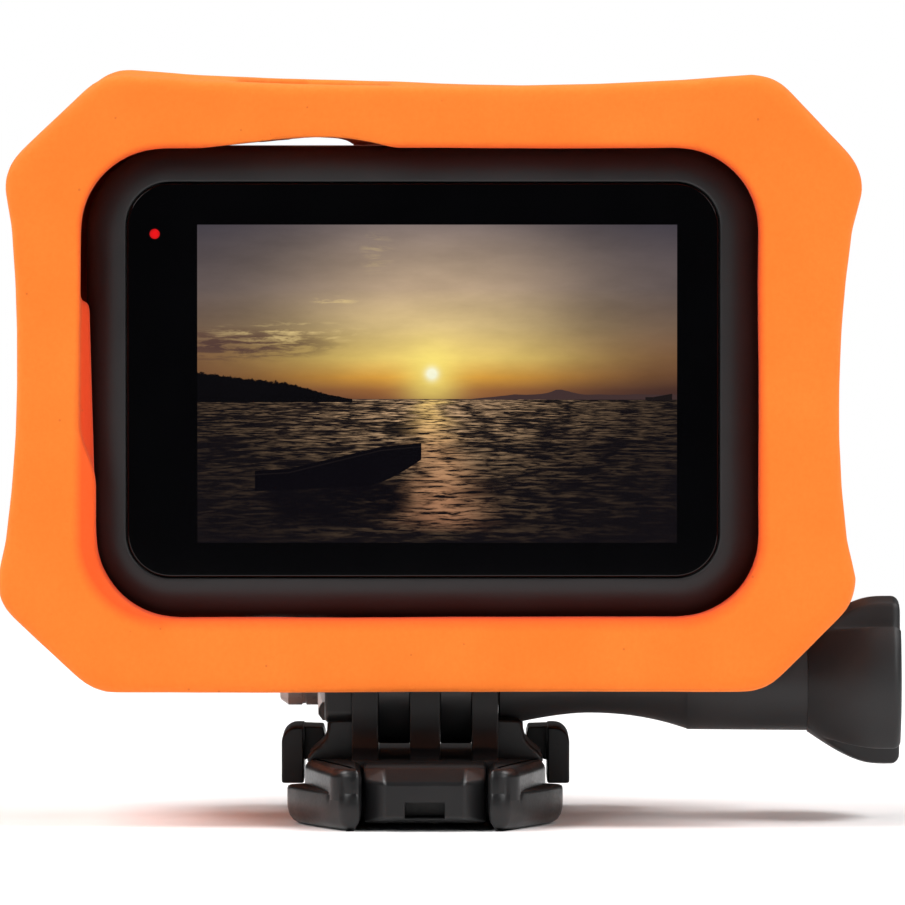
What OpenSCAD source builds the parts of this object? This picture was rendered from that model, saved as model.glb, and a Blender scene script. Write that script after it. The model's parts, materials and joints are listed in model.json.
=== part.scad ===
// Action camera in a float jacket, held by a thumb screw on a quick-release buckle.
// Millimetres. +Z up, the display faces -Y, the lens faces +Y.
// Origin: centre of the buckle's flat underside, below the tilt hinge.

/* [Camera case] */
// Width of the case
cam_w = 66.3; // [66:0.1:66.6]
// Height of the case without its fingers
cam_h = 46.4; // [46.2:0.1:46.6]
// Height of the case's underside above the buckle's underside
cam_z0 = 20.2; // [20.1:0.1:20.4]
// Rear face of the case, measured from the hinge axis
cam_rear = -12.2; // [-12.4:0.1:-12]
// Front face of the case, measured from the hinge axis
cam_front = 12.3; // [12.2:0.1:12.4]
// Corner radius of the case
cam_r = 8.5; // [8:0.1:9]
// Rounding of the case's long edges
edge_r = 3; // [2.6:0.1:3.2]
// Wall thickness of the case
wall = 1.8; // [1.6:0.1:1.8]

/* [Display] */
// Width of the rear glass
glass_w = 57.8; // [57:0.1:58]
// Height of the rear glass
glass_h = 38.5; // [38:0.1:39]
// Width of the rear display panel
lcd_w = 46.9; // [46:0.1:47.5]
// Height of the rear display panel
lcd_h = 31.1; // [30:0.1:31.5]

/* [Lens] */
// Distance of the lens axis left of centre, seen from the display side
lens_x = 18.6; // [18.4:0.1:18.8]
// Height of the lens axis
lens_z = 52.1; // [51.9:0.1:52.3]
// Side of the square lens bezel
ring_w = 24; // [23.6:0.1:24]

/* [Float jacket] */
// Depth of the foam, front to rear
foam_d = 33; // [32.6:0.1:34]
// Width of the foam across its upper corners
foam_w = 83.5; // [83:0.1:84]
// Top of the foam at its corners
foam_top = 73.6; // [73.4:0.1:74]
// Underside of the foam
foam_bottom = 13.3; // [13.2:0.1:13.6]

/* [Hinge and thumb screw] */
// Height of the tilt axis
axis_z = 13.7; // [13.7:0.1:13.8]
// Radius of the bolt
bolt_r = 2.5; // [2.45:0.01:2.52]
// Running clearance of the bolt in its bores
run_fit = 0.05; // [0.04:0.01:0.06]
// Reach of the knob to the right of centre
knob_end = 46.9; // [46.6:0.1:47.4]
// Radius over the knob's lobes
knob_r = 8.4; // [8:0.1:8.5]

/* [Buckle] */
// Half length of the buckle
buckle_l = 20.5; // [20.3:0.1:20.8]
// Top of the buckle's deck
deck_z = 6.2; // [6.1:0.1:6.3]
// Top of the lower rail step
rail_z = 3.8; // [3.7:0.1:3.9]

/* [Hidden] */
$fn = 48;

// Case
cam_zc = cam_z0 + cam_h / 2;
cam_z1 = cam_z0 + cam_h;
half_w = cam_w / 2;
split_y = 9;
lap = 1.4;
skin = 0.04;

// Display, in the plane of the rear face
glass_x = -0.2;
glass_z = 43.7;
glass_r = 4.2;
glass_t = 1.1;
glass_seat = cam_rear - 0.15 + glass_t;
lcd_x = 1.2;
lcd_z = 43.35;
lcd_t = 1.5;
led_x = -26.4;
led_z = 58;
led_r = 0.5;

// Controls
shutter_x = -11;
shutter_r = 5;
shutter_top = cam_z1;
shutter_gap = 0.15;
mode_z = 43;
mode_r = 3.4;
speaker_z = 34.4;
speaker_r = 5.4;

// Front features
ring_r = 6;
ring_depth = 3.9;
barrel_r = 8;
cover_w = 18.9;
dome_r = 6.8;
dome_y = 11.2;
dome_half = 40;
dome_ball = dome_r / sin(dome_half);
win_x = 15.5;
win_z = 51;
win_w = 20;
win_h = 17;
win_t = 0.8;
front_led_z = 42;
front_led_r = 0.6;
mic_z = 62.2;
mic_w = 5.6;
mic_h = 1.2;
bar_x = -1.5;

// Side door
door_z0 = 25;
door_z1 = 62;
door_y0 = -6.4;
door_y1 = 7.4;
door_t = 1.6;
door_pin_r = 0.45;
door_pin_x = half_w - 0.85;
door_pin_z = 28;

// Fingers: two on the camera between three on the buckle
finger_x0 = 1.55;
finger_x1 = 4.55;
finger_r = 6.3;
pin_x = 6.4;
pin_z = 21.7;
web_y = 4.5;
pin_boss_r = 1.2;
recess_x = 9.5;
recess_y = 6.6;
recess_z = 23.2;

// Buckle
prong_r = 6.3;
prong_mid = 1.5;
prong_in = 4.6;
prong_out = 7.2;
boss_x = 9.9;
nut_af = 7;
arm_pivot_x = 9.6;
arm_pivot_y = -1;
knuckle_r = 1.7;

// Foam
foam_rear = -foam_d / 2;
lip_y = foam_rear + 3;
channel_y = 9.6;
channel_x = -18;
shutter_hole_r = 7.6;
mode_hole_r = 5.5;
flat_steps = 8;
slack = 1.3;
slack_x = -17;
slack_y0 = -8;
slack_y1 = 5;
foam_edge_r = 1.3;
edge_steps = 3;

// ---------- outline helpers ----------

// Points of an arc from angle a0 to a1
function arc(cx, cz, r, a0, a1, n) =
  [for (i = [0:n]) let (a = a0 + (a1 - a0) * i / n) [cx + r * cos(a), cz + r * sin(a)]];

// Rectangle with round corners, centred
function round_rect(w, h, r) = concat(
  arc(w / 2 - r, h / 2 - r, r, 0, 90, flat_steps),
  arc(-w / 2 + r, h / 2 - r, r, 90, 180, flat_steps),
  arc(-w / 2 + r, -h / 2 + r, r, 180, 270, flat_steps),
  arc(w / 2 - r, -h / 2 + r, r, 270, 360, flat_steps));

// Stands a flat X-Z outline up and pushes it along +Y, from y0 to y1
module along_y(y0, y1) {
  translate([0, y1, 0]) rotate([90, 0, 0]) linear_extrude(y1 - y0) children();
}

// Turns a flat Y-Z outline to face +X and pushes it from x0 to x1
module along_x(x0, x1) {
  translate([x0, 0, 0]) rotate([90, 0, 90]) linear_extrude(x1 - x0) children();
}

// Plate with round corners in the X-Z plane
module plate(x, z, w, h, r, y0, y1) {
  along_y(y0, y1) translate([x, z]) polygon(round_rect(w, h, r));
}

// Cylinder along X
module rod_x(x0, x1, r, y = 0, z = 0) {
  translate([x0, y, z]) rotate([0, 90, 0]) cylinder(r = r, h = x1 - x0);
}

// Cylinder along Y
module rod_y(y0, y1, r, x = 0, z = 0) {
  translate([x, y0, z]) rotate([-90, 0, 0]) cylinder(r = r, h = y1 - y0);
}

// Box from its lowest and highest corners
module block(lo, hi) {
  translate(lo) cube(hi - lo);
}

// Draws its children on both sides of the centre plane
module both_sides() {
  children();
  mirror([1, 0, 0]) children();
}

// Case outline pulled in by an inset, between two depths
module case_slab(inset, y0, y1) {
  plate(0, cam_zc, cam_w - 2 * inset, cam_h - 2 * inset, cam_r - inset, y0, y1);
}

// Quarter-round edge: one convex hull over thin slabs
module rounded_case(y_flat, y_end, r) {
  side = sign(y_end - y_flat);
  hull()
    for (a = [0:22.5:90]) {
      y = y_end - side * r * (1 - sin(a));
      case_slab(r * (1 - cos(a)), min(y, y - side * skin), max(y, y - side * skin));
    }
  case_slab(0, min(y_flat, y_end - side * r), max(y_flat, y_end - side * r));
}

// ---------- camera case ----------

module rear_housing() color([0.12, 0.12, 0.12]) {
  difference() {
    rounded_case(split_y, cam_rear, edge_r);
    case_slab(wall, cam_rear + wall, split_y + 1);
    plate(glass_x, glass_z, glass_w + 0.2, glass_h + 0.2, glass_r + 0.1, cam_rear - 1, glass_seat);
    plate(lcd_x, lcd_z, lcd_w + 0.2, lcd_h + 0.2, 1, cam_rear, cam_rear + wall + 1);
    rod_y(cam_rear, cam_rear + wall + 1, led_r + 0.02, led_x, led_z);
    translate([shutter_x, 0, cam_z1 - wall - 1]) cylinder(r = shutter_r + shutter_gap, h = wall + 2);
    rod_x(-half_w - 1, -half_w + wall + 1, mode_r + 0.15, 0, mode_z);
    block([half_w - wall - 1, door_y0 - 0.1, door_z0 - 0.1], [half_w + 1, door_y1 + 0.1, door_z1 + 0.1]);
    block([-recess_x, -recess_y, cam_z0 - 1], [recess_x, recess_y, cam_z0 + wall + 1]);
    speaker_slots(-half_w - 1, -half_w + wall + 1);
  }
  // Raised pocket floor over the folding fingers
  difference() {
    block([-recess_x - 1, -recess_y - 1, cam_z0 + wall - 0.2], [recess_x + 1, recess_y + 1, recess_z + 1.2]);
    block([-recess_x, -recess_y, cam_z0], [recess_x, recess_y, recess_z]);
  }
  // Pillars that carry the main board
  for (p = board_points)
    difference() {
      rod_y(cam_rear + wall - 0.1, board_y0, 1.6, p[0], p[1]);
      rod_y(board_y0 - 2.4, board_y0 + 1, 0.7, p[0], p[1]);
    }
}

module speaker_slots(x0, x1) {
  for (dz = [-3:2:3])
    block([x0, -3, speaker_z + dz - 0.4], [x1, 3, speaker_z + dz + 0.4]);
}

module front_cover() color([0.1, 0.1, 0.11]) {
  difference() {
    rounded_case(split_y, cam_front, 2);
    case_slab(wall + 0.8, split_y - 1, cam_front - 1.6);
    rod_y(split_y, cam_front + 1, barrel_r + 2.1, -lens_x, lens_z);
    plate(win_x, win_z, win_w + 0.1, win_h + 0.1, 2.05, cam_front - win_t, cam_front + 1);
    plate(win_x, win_z, win_w - 3, win_h - 3, 1, split_y, cam_front + 1);
    rod_y(cam_front - 2, cam_front + 1, front_led_r + 0.02, bar_x, front_led_z);
    plate(bar_x, mic_z, mic_w, mic_h, 0.55, cam_front - 2, cam_front + 1);
  }
  // Locating lip inside the rear housing
  difference() {
    case_slab(wall + 0.05, split_y - lap, split_y + 0.5);
    case_slab(wall + 0.8, split_y - lap - 1, split_y + 1);
  }
}

module display_glass() color([0.01, 0.01, 0.01])
  difference() {
    plate(glass_x, glass_z, glass_w, glass_h, glass_r, cam_rear - 0.15, glass_seat);
    rod_y(cam_rear - 1, glass_seat + 1, led_r + 0.02, led_x, led_z);
  }

module lcd_panel() color([0.5, 0.38, 0.25])
  plate(lcd_x, lcd_z, lcd_w, lcd_h, 0.8, glass_seat, glass_seat + lcd_t);

module status_led_lens() color([0.9, 0.05, 0.05])
  rod_y(cam_rear - 0.16, glass_seat + 1, led_r, led_x, led_z);

module front_window() color([0.02, 0.02, 0.02])
  plate(win_x, win_z, win_w, win_h, 2, cam_front - win_t, cam_front);

module front_status_screen() color([0.1, 0.12, 0.14])
  plate(win_x, win_z, win_w - 3.2, win_h - 3.2, 0.8, cam_front - win_t - 1.1, cam_front - win_t);

module front_led_lens() color([0.8, 0.1, 0.1])
  rod_y(cam_front - 1.8, cam_front + 0.05, front_led_r, bar_x, front_led_z);

// Round cap with a dished ring, carried on a short stem
module shutter_button() color([0.16, 0.16, 0.17])
  translate([shutter_x, 0, 0])
    difference() {
      union() {
        translate([0, 0, shutter_top - 1.5]) cylinder(r = shutter_r, h = 1.5);
        translate([0, 0, shutter_top - 3]) cylinder(r = 1.4, h = 1.6);
      }
      translate([0, 0, shutter_top - 0.25])
        difference() {
          cylinder(r = shutter_r - 0.9, h = 1);
          cylinder(r = shutter_r - 1.5, h = 1);
        }
    }

module shutter_switch() color([0.7, 0.7, 0.68]) {
  block([shutter_x - 2, -2, shutter_top - 5.6], [shutter_x + 2, 2, shutter_top - 4.2]);
  translate([shutter_x, 0, shutter_top - 4.3]) cylinder(r = 1, h = 0.6);
}

module mode_button() color([0.16, 0.16, 0.17]) {
  rod_x(-half_w - 0.5, -half_w + 1.4, mode_r, 0, mode_z);
  rod_x(-half_w + 1.3, -half_w + 2.6, 1.2, 0, mode_z);
}

module mode_switch() color([0.7, 0.7, 0.68]) {
  block([-half_w + 3.9, -1.8, mode_z - 1.8], [-half_w + 5.2, 1.8, mode_z + 1.8]);
  rod_x(-half_w + 3.3, -half_w + 4, 0.9, 0, mode_z);
}

module speaker() color([0.3, 0.3, 0.32])
  difference() {
    rod_x(-half_w + wall + 0.5, -half_w + wall + 3.4, speaker_r, 0, speaker_z);
    rod_x(-half_w + wall, -half_w + wall + 0.9, speaker_r - 1, 0, speaker_z);
  }

module speaker_grille() color([0.05, 0.05, 0.05])
  rod_x(-half_w + wall, -half_w + wall + 0.5, speaker_r, 0, speaker_z);

module microphone_mesh() color([0.35, 0.35, 0.36])
  plate(bar_x, mic_z, mic_w - 0.1, mic_h - 0.1, 0.5, cam_front - 1.5, cam_front - 0.6);

// Battery door, hinged at its lower edge and latched at the top
module side_door() color([0.14, 0.14, 0.14])
  difference() {
    intersection() {
      block([half_w - door_t, door_y0, door_z0], [half_w, door_y1, door_z1]);
      case_slab(0, door_y0, door_y1);
    }
    rod_y(door_y0 - 1, door_y1 + 1, door_pin_r + 0.05, door_pin_x, door_pin_z);
    block([half_w - 0.6, -3, door_z1 - 8.1], [half_w + 1, 4, door_z1 - 3.9]);
  }

module door_latch() color([0.25, 0.25, 0.26]) {
  block([half_w - 0.6, -2.9, door_z1 - 8], [half_w - 0.3, 3.9, door_z1 - 4]);
  for (i = [0:3])
    block([half_w - 0.35, -2.9, door_z1 - 7.6 + i], [half_w, 3.9, door_z1 - 7.2 + i]);
}

module door_seal() color([0.35, 0.36, 0.38])
  difference() {
    block([half_w - door_t - 0.9, door_y0 + 0.8, door_z0 + 2.4],
      [half_w - door_t, door_y1 - 0.8, door_z1 - 0.8]);
    block([half_w - door_t - 2, door_y0 + 1.7, door_z0 + 3.3], [half_w, door_y1 - 1.7, door_z1 - 1.7]);
  }

module door_hinge_pin() color([0.7, 0.7, 0.72])
  rod_y(door_y0, door_y1, door_pin_r, door_pin_x, door_pin_z);

// ---------- optics ----------

module lens_ring() color([0.09, 0.09, 0.1])
  difference() {
    union() {
      plate(-lens_x, lens_z, ring_w, ring_w, ring_r, cam_front, cam_front + ring_depth - 0.8);
      plate(-lens_x, lens_z, ring_w - 1.2, ring_w - 1.2, ring_r - 0.6, cam_front, cam_front + ring_depth);
    }
    rod_y(cam_front - 1, cam_front + 5, barrel_r + 0.8, -lens_x, lens_z);
    plate(-lens_x, lens_z, cover_w + 0.1, cover_w + 0.1, 4.5, cam_front + ring_depth - 1.4, cam_front + 5);
  }

module lens_cover_glass() color([0.25, 0.3, 0.35])
  plate(-lens_x, lens_z, cover_w, cover_w, 4.45, cam_front + ring_depth - 1.4, cam_front + ring_depth - 0.2);

module lens_barrel() color([0.05, 0.05, 0.05])
  translate([-lens_x, 0, lens_z]) rotate([-90, 0, 0])
    difference() {
      union() {
        translate([0, 0, -2.4]) cylinder(r = 6.5, h = 8);
        translate([0, 0, 5.4]) cylinder(r = barrel_r, h = 8.8);
      }
      translate([0, 0, -3]) cylinder(r = 4, h = 12);
      translate([0, 0, 8.2]) cylinder(r = 6.9, h = 10);
    }

// Domed outer element, flat behind
module lens_front_element() color([0.2, 0.25, 0.4])
  translate([-lens_x, 0, lens_z]) rotate([-90, 0, 0])
    rotate_extrude()
      polygon(concat([[0, 8.2], [dome_r, 8.2], [dome_r, dome_y]],
        [for (i = [1:8])
          let (a = dome_half * (8 - i) / 8)
          [dome_ball * sin(a), dome_y + dome_ball * (cos(a) - cos(dome_half))]]));

module lens_rear_elements() color([0.5, 0.6, 0.65])
  for (y = [-1.2, 2, 5.2])
    rod_y(y, y + 1.6, 3.9, -lens_x, lens_z);

module image_sensor_board() color([0.05, 0.3, 0.15]) {
  block([-lens_x - 10, -3.8, lens_z - 9.6], [-lens_x + 10, -2.9, lens_z + 9.6]);
  block([-lens_x - 3.8, -2.9, lens_z - 3], [-lens_x + 3.8, -2.4, lens_z + 3]);
}

// ---------- inside ----------

battery_x = 11.3;
battery_z = 40;
battery_w = 38;
battery_h = 29;
usb_z = 58.9;
board_y0 = -8;
board_y1 = -7;
board_points = [[-26.5, 27], [26.5, 27], [-26.5, 60], [26.5, 60]];

module main_board() color([0.04, 0.28, 0.14]) {
  difference() {
    block([-29, board_y0, 25], [29, board_y1, 62.5]);
    for (p = board_points) rod_y(board_y0 - 1, board_y1 + 1, 0.8, p[0], p[1]);
  }
  block([-24, board_y1, 34], [-13, board_y1 + 1.2, 41]);
  block([-6, board_y1, 40], [6, board_y1 + 1.2, 52]);
  block([10, board_y1, 30], [18, board_y1 + 1.2, 36]);
}

module board_screws() color([0.75, 0.75, 0.78])
  for (p = board_points) {
    rod_y(board_y1, board_y1 + 0.8, 1.4, p[0], p[1]);
    rod_y(board_y0 - 2, board_y1, 0.65, p[0], p[1]);
  }

module heat_spreader() color([0.75, 0.76, 0.78])
  difference() {
    block([-22, -9.2, 29], [23, -8.7, 58]);
    rod_y(-10, -8, 3, 12, 35);
  }

module battery() color([0.15, 0.3, 0.5])
  translate([battery_x, 0, battery_z])
    difference() {
      along_y(-4.9, 5.6) polygon(round_rect(battery_w, battery_h, 1.5));
      block([-3, -6, battery_h / 2 - 1.5], [3, -4.4, battery_h / 2 + 3.5]);
    }

module battery_pull_tab() color([0.8, 0.8, 0.8])
  block([battery_x + battery_w / 2 + 0.02, -3, 38], [battery_x + battery_w / 2 + 0.3, 3, 52]);

module memory_card() color([0.03, 0.03, 0.03])
  block([15.5, -4.9, 55.3], [30.4, 6.1, 56.3]);

module usb_port() color([0.7, 0.7, 0.72])
  difference() {
    along_x(23.2, 30.5) translate([0, usb_z]) polygon(round_rect(9, 3.2, 1.5));
    along_x(24.2, 31) translate([0, usb_z]) polygon(round_rect(8.3, 2.5, 1.2));
  }

// ---------- folding fingers ----------

module finger_base() color([0.2, 0.2, 0.2])
  difference() {
    block([-recess_x + 0.1, -recess_y + 0.1, cam_z0 + 0.2], [recess_x - 0.1, recess_y - 0.1, recess_z]);
    block([-8.6, -4.6, cam_z0 - 1], [8.6, 4.6, recess_z - 0.2]);
    both_sides() rod_y(-recess_y, recess_y, 0.75, pin_x, pin_z);
  }

// Flat ear with a round tip, on a knuckle that carries its fold pin
module finger() {
  difference() {
    union() {
      rod_x(finger_x0, finger_x1, finger_r, 0, axis_z);
      block([finger_x0, -web_y, axis_z], [finger_x1, web_y, recess_z - 0.3]);
      block([finger_x0, -finger_r, axis_z], [finger_x1, finger_r, cam_z0]);
      block([finger_x1 - 1, -web_y, pin_z - pin_boss_r], [pin_x, web_y, pin_z + pin_boss_r]);
      rod_y(-web_y, web_y, pin_boss_r, pin_x, pin_z);
    }
    rod_x(finger_x0 - 1, finger_x1 + 1, bolt_r + run_fit, 0, axis_z);
    rod_y(-5, 5, 0.8, pin_x, pin_z);
  }
}

module finger_right() color([0.2, 0.2, 0.21]) finger();

module finger_left() color([0.2, 0.2, 0.21]) mirror([1, 0, 0]) finger();

module finger_pins() color([0.75, 0.75, 0.78])
  both_sides() rod_y(-recess_y + 0.3, recess_y - 0.3, 0.7, pin_x, pin_z);

// ---------- float jacket ----------

// Corners of the outer outline, anticlockwise from the lower right, seen from the display side.
// The upper corners stand a little to the right of the lower ones, as a stretched jacket does.
foam_corners = [
  [33.2, foam_bottom], [42, 22.1], [foam_w / 2 + 0.9, 64.4], [34.1, foam_top - 0.1],
  [-31.5, foam_top], [-foam_w / 2 + 0.9, 64.6], [-41.7, 22.1], [-32.3, foam_bottom]
];
// How far the side that starts at each corner bows in at its middle
foam_dips = [0, 1.9, 0, 1.1, 0, 1.5, 0, 0];
foam_corner_r = 2.2;
foam_mid = [0.8, (foam_top + foam_bottom) / 2];

// Points between two corners, pushed inwards by a shallow arc
function bowed_side(p, q, dip) =
  let (d = q - p, n = [-d[1], d[0]] / norm(d))
  [for (t = [0.14:0.12:0.86]) if (dip > 0) p + d * t + n * dip * 4 * t * (1 - t)];

// Corner c between its neighbours a and b, rounded by a short curve
function round_corner(a, c, b, r) =
  let (u = (a - c) / norm(a - c), v = (b - c) / norm(b - c))
  [for (i = [0:4])
    let (t = i / 4)
    (1 - t) * (1 - t) * (c + r * u) + 2 * t * (1 - t) * c + t * t * (c + r * v)];

function foam_outline() =
  [for (i = [0:7])
    let (before = foam_corners[(i + 7) % 8], here = foam_corners[i], after = foam_corners[(i + 1) % 8])
    let (corner = round_corner(before, here, after, foam_corner_r))
    for (p = concat(corner, bowed_side(here, after, foam_dips[i]))) p];

// Foam outline drawn in by an inset, for the softened front and rear edges
module foam_slab(inset, y0, y1) {
  s = 1 - 2 * inset / foam_w;
  along_y(y0, y1) translate(foam_mid) scale([s, s, 1]) translate(-foam_mid) polygon(foam_outline());
}

// Opening over the display: stretched outwards beside the upper half of the case
open_l = -33.5;
open_l_low = -32.1;
open_r = 32.6;
open_top = 66.4;
open_bottom = 20.5;
open_corner = 8;
function opening_outline() = concat(
  arc(open_r - open_corner, open_top - open_corner, open_corner, 0, 90, flat_steps),
  arc(open_l + open_corner, open_top - open_corner, open_corner, 90, 180, flat_steps),
  [for (i = [0:6]) let (t = i / 6)
    [open_l - 0.2 + (open_l_low - open_l + 0.2) * (1 - cos(180 * t)) / 2, 39.5 - 6 * t]],
  arc(open_l_low + open_corner, open_bottom + open_corner, open_corner, 180, 270, flat_steps),
  arc(open_r - open_corner, open_bottom + open_corner, open_corner, 270, 360, flat_steps));

// Opening behind the lip, where the foam lies against the case
module inner_opening(y0, y1) {
  along_y(y0, y1)
    polygon(concat([[-32.9, 56], [-32.4, 36]],
      arc(open_l_low + open_corner, open_bottom + open_corner, open_corner, 180, 270, flat_steps),
      arc(open_r - open_corner, open_bottom + open_corner, open_corner, 270, 360, flat_steps),
      arc(open_r - open_corner, open_top - open_corner, open_corner, 0, 90, flat_steps),
      arc(-32.9 + open_corner, open_top - open_corner, open_corner, 90, 180, flat_steps)));
}

// Long finger dip in the upper edge over the shutter button: a slow rise, then a quick fall.
// Behind the lip it ends sooner, at scallop_end.
scallop_end = -7.2;
module top_scallop(y0, y1, lift) {
  along_y(y0, y1)
    polygon(concat([[-27, 65]],
      [for (i = [0:14]) let (t = i / 14) [-27 + 25 * t, 66.1 + (1.35 + lift) * sin(180 * pow(t, 1.7))]],
      [[-2, 65]]));
}

module float_jacket() color([1, 0.45, 0.1])
  difference() {
    union() {
      foam_slab(0, foam_rear + foam_edge_r, -foam_rear - foam_edge_r);
      for (i = [0:edge_steps - 1]) {
        inset = foam_edge_r * (1 - cos(90 * (i + 0.5) / edge_steps));
        reach = foam_edge_r * sin(90 * (i + 1) / edge_steps);
        foam_slab(inset, foam_rear + foam_edge_r - reach, -foam_rear - foam_edge_r + reach);
      }
    }
    // Seat for the camera
    case_slab(-0.1, cam_rear + 1, cam_front + 0.1);
    // Rear and front openings
    along_y(foam_rear - 1, lip_y) polygon(opening_outline());
    inner_opening(lip_y - 0.1, cam_rear + 2);
    plate(0, cam_zc, 64.2, 45.2, 8, cam_front - 1, -foam_rear + 1);
    top_scallop(foam_rear - 1, slack_y0, 0.05);
    intersection() {
      top_scallop(lip_y, -foam_rear + 1, -0.15);
      block([-30, lip_y, 60], [scallop_end, 20, 70]);
    }
    // Finger pocket over the side button, open to the rear above the button
    block([-35.4, -9, 34.6], [-half_w + 1, 9, 58]);
    // Slack between the stretched foam and the upper left corner of the case
    intersection() {
      case_slab(-slack, lip_y - 0.1, slack_y1);
      block([-half_w - slack, lip_y - 0.1, 51.5], [slack_x, slack_y1, 70]);
    }
    rod_x(-50, -half_w, mode_hole_r, 0, mode_z);
    // Hole over the shutter button
    translate([shutter_x, 0, cam_z1 - 1]) cylinder(r = shutter_hole_r, h = 20);
    // Channel for the hinge and the thumb screw, open below and to the right
    block([channel_x, -channel_y, 0], [50, channel_y, cam_z0 + 0.5]);
    block([half_w - 1, -channel_y, 0], [50, channel_y, 23]);
  }

// ---------- quick-release buckle ----------

// Right half of the rail outline on the underside, seen from above
function rail_half() = [[6.15, -buckle_l + 0.2], [8.2, -buckle_l + 0.5], [9.6, -17.6], [12.1, -11.9],
  [13.5, -8.3], [13.6, -6.8], [11.5, -4.6], [8.4, -4.6], [6.15, -6]];

// Right half of the deck outline at the rear lobes
function lobe_half() = [[6.15, -buckle_l + 0.4], [7.9, -buckle_l + 0.6], [9.1, -19.2], [11.8, -6.2],
  [11.9, -4.6], [8.4, -4.6], [6.15, -6]];

// One forked hinge ear of the buckle
module prong(x0, x1) {
  rod_x(x0, x1, prong_r, 0, axis_z);
  along_x(x0, x1)
    polygon([[-7.6, deck_z - 1], [7.6, deck_z - 1], [7.4, deck_z + 0.4], [prong_r, axis_z - 2.5],
      [prong_r, axis_z], [-prong_r, axis_z], [-prong_r, axis_z - 2.5], [-7.4, deck_z + 0.4]]);
}

module centre_block() {
  difference() {
    along_x(-5.3, 5.3)
      polygon([[-buckle_l + 0.4, 0.8], [-buckle_l, 1.2], [-buckle_l, deck_z - 1.4],
        [-buckle_l + 1.4, deck_z], [-5, deck_z], [-5, 0], [-12, 0], [-13, 0.8]]);
    // Clipped vertical and top corners on the end face
    both_sides()
      translate([5.3, -buckle_l, -1]) rotate([0, 0, 45]) cube([2.1, 2.1, 20], center = true);
    block([-1.95, -buckle_l - 1, 1.3], [1.95, -buckle_l + 4, 2.9]);
  }
}

// Sloped shoulder beside the outer ears; the squeeze arms start under it
module gusset() {
  along_y(-4.6, 4.6)
    polygon([[prong_out - 0.2, deck_z - 0.5], [11.6, deck_z - 0.5], [11.5, deck_z + 0.2], [10.8, 7.2],
      [9.9, 8.1], [9.65, 9], [9.6, 9.9], [prong_out - 0.2, 10.1]]);
}

module buckle_base() color([0.07, 0.07, 0.07]) {
  difference() {
    union() {
      // Middle spine that carries the hinge, and its far end
      block([-8.2, -6, 0], [8.2, 18.8, deck_z]);
      block([-7, 18.8, 0.6], [7, 20, deck_z - 0.4]);
      both_sides() {
        linear_extrude(rail_z) polygon(rail_half());
        translate([0, 0, rail_z - 0.1]) linear_extrude(deck_z - rail_z + 0.1) polygon(lobe_half());
      }
      centre_block();
      prong(-prong_mid, prong_mid);
      prong(prong_in, prong_out);
      prong(-prong_out, -prong_in);
      both_sides() gusset();
      // Nut boss on the left ear
      block([-boss_x, -5.2, axis_z - 4], [-prong_out + 0.2, 5.2, axis_z + 4.6]);
    }
    rod_x(-boss_x - 1, prong_out + 3, bolt_r + run_fit, 0, axis_z);
    // Clearance round the knob's stem, between the gusset's two ends
    rod_x(prong_out, prong_out + 5, stem_radius(stem_x0) + 0.15, 0, axis_z);
    // Hexagonal nut pocket
    translate([-boss_x - 1, 0, axis_z]) rotate([0, 90, 0])
      rotate([0, 0, 30]) cylinder(r = (nut_af + 0.06) / sqrt(3), h = 4.2, $fn = 6);
    // Bevel under the rails' outer edges
    both_sides()
      translate([13.7, -12, 0]) rotate([0, 45, 0]) cube([2, 30, 2], center = true);
    // Underside relief between the two arms
    block([-5, 3, -1], [5, 15.5, 1.8]);
    both_sides() arm_socket();
  }
}

// Round seat for an arm's knuckle
module arm_socket() {
  translate([arm_pivot_x, arm_pivot_y, -1]) cylinder(r = knuckle_r + 0.08, h = deck_z + 1.3);
  block([8.2, arm_pivot_y, -1], [20, 30, deck_z + 0.3]);
}

// Squeeze arm with its finger tab, right side
module arm() {
  difference() {
    union() {
      translate([arm_pivot_x, arm_pivot_y, 0.4]) cylinder(r = knuckle_r, h = deck_z - 0.4);
      translate([0, 0, 0.4]) linear_extrude(deck_z - 0.4)
        polygon([[arm_pivot_x - 0.3, arm_pivot_y], [11.3, arm_pivot_y], [11.5, 6], [11.5, 10],
          [10.9, 20], [9.8, 20]]);
      // Web from the arm to the finger tab
      block([10.2, 12.6, 4.6], [13.2, 20, 8.4]);
      // Finger tab: an upright pad with a rounded upper edge
      along_y(9.5, 20.5)
        polygon(concat([[12.2, 8.4], [12.2, 2.8], [14.4, 2.8]], arc(12.9, 6.9, 1.5, 0, 90, 6)));
    }
    block([9, 12, 8.4], [10.9, 21, 10]);
  }
}

module right_arm() color([0.08, 0.08, 0.08]) arm();

module left_arm() color([0.08, 0.08, 0.08]) mirror([1, 0, 0]) arm();

module lock_nut() color([0.75, 0.75, 0.76])
  translate([-boss_x - 0.7, 0, axis_z]) rotate([0, 90, 0])
    difference() {
      rotate([0, 0, 30]) cylinder(r = nut_af / sqrt(3), h = 3.8, $fn = 6);
      translate([0, 0, -1]) cylinder(r = bolt_r + run_fit, h = 6);
    }

// ---------- thumb screw ----------

stem_x0 = 7.25;
waist_x = 16;
stem_step = 25.8;
stem_x1 = 37.8;
flare_len = 7.2;
lobe_turn = -5;
notch_half = 13;
notch_depth = 2.1;
bolt_x0 = -14.4;
bolt_x1 = 36;
tip_len = 0.6;

// Radius of the stem: wide at the ear, narrow waist, then a straight collar
function stem_radius(x) =
  x < waist_x ? 3.27 + 1.4 * pow((waist_x - x) / (waist_x - stem_x0), 1.6) :
  x < stem_step ? 3.27 + 1.55 * pow((x - waist_x) / (stem_step - waist_x), 2.2) : 5;

// Radius of the flare under the lobes
function flare_radius(x) = 5 + (knob_r - 5) * sin(90 * (x - stem_x1) / flare_len);

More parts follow.
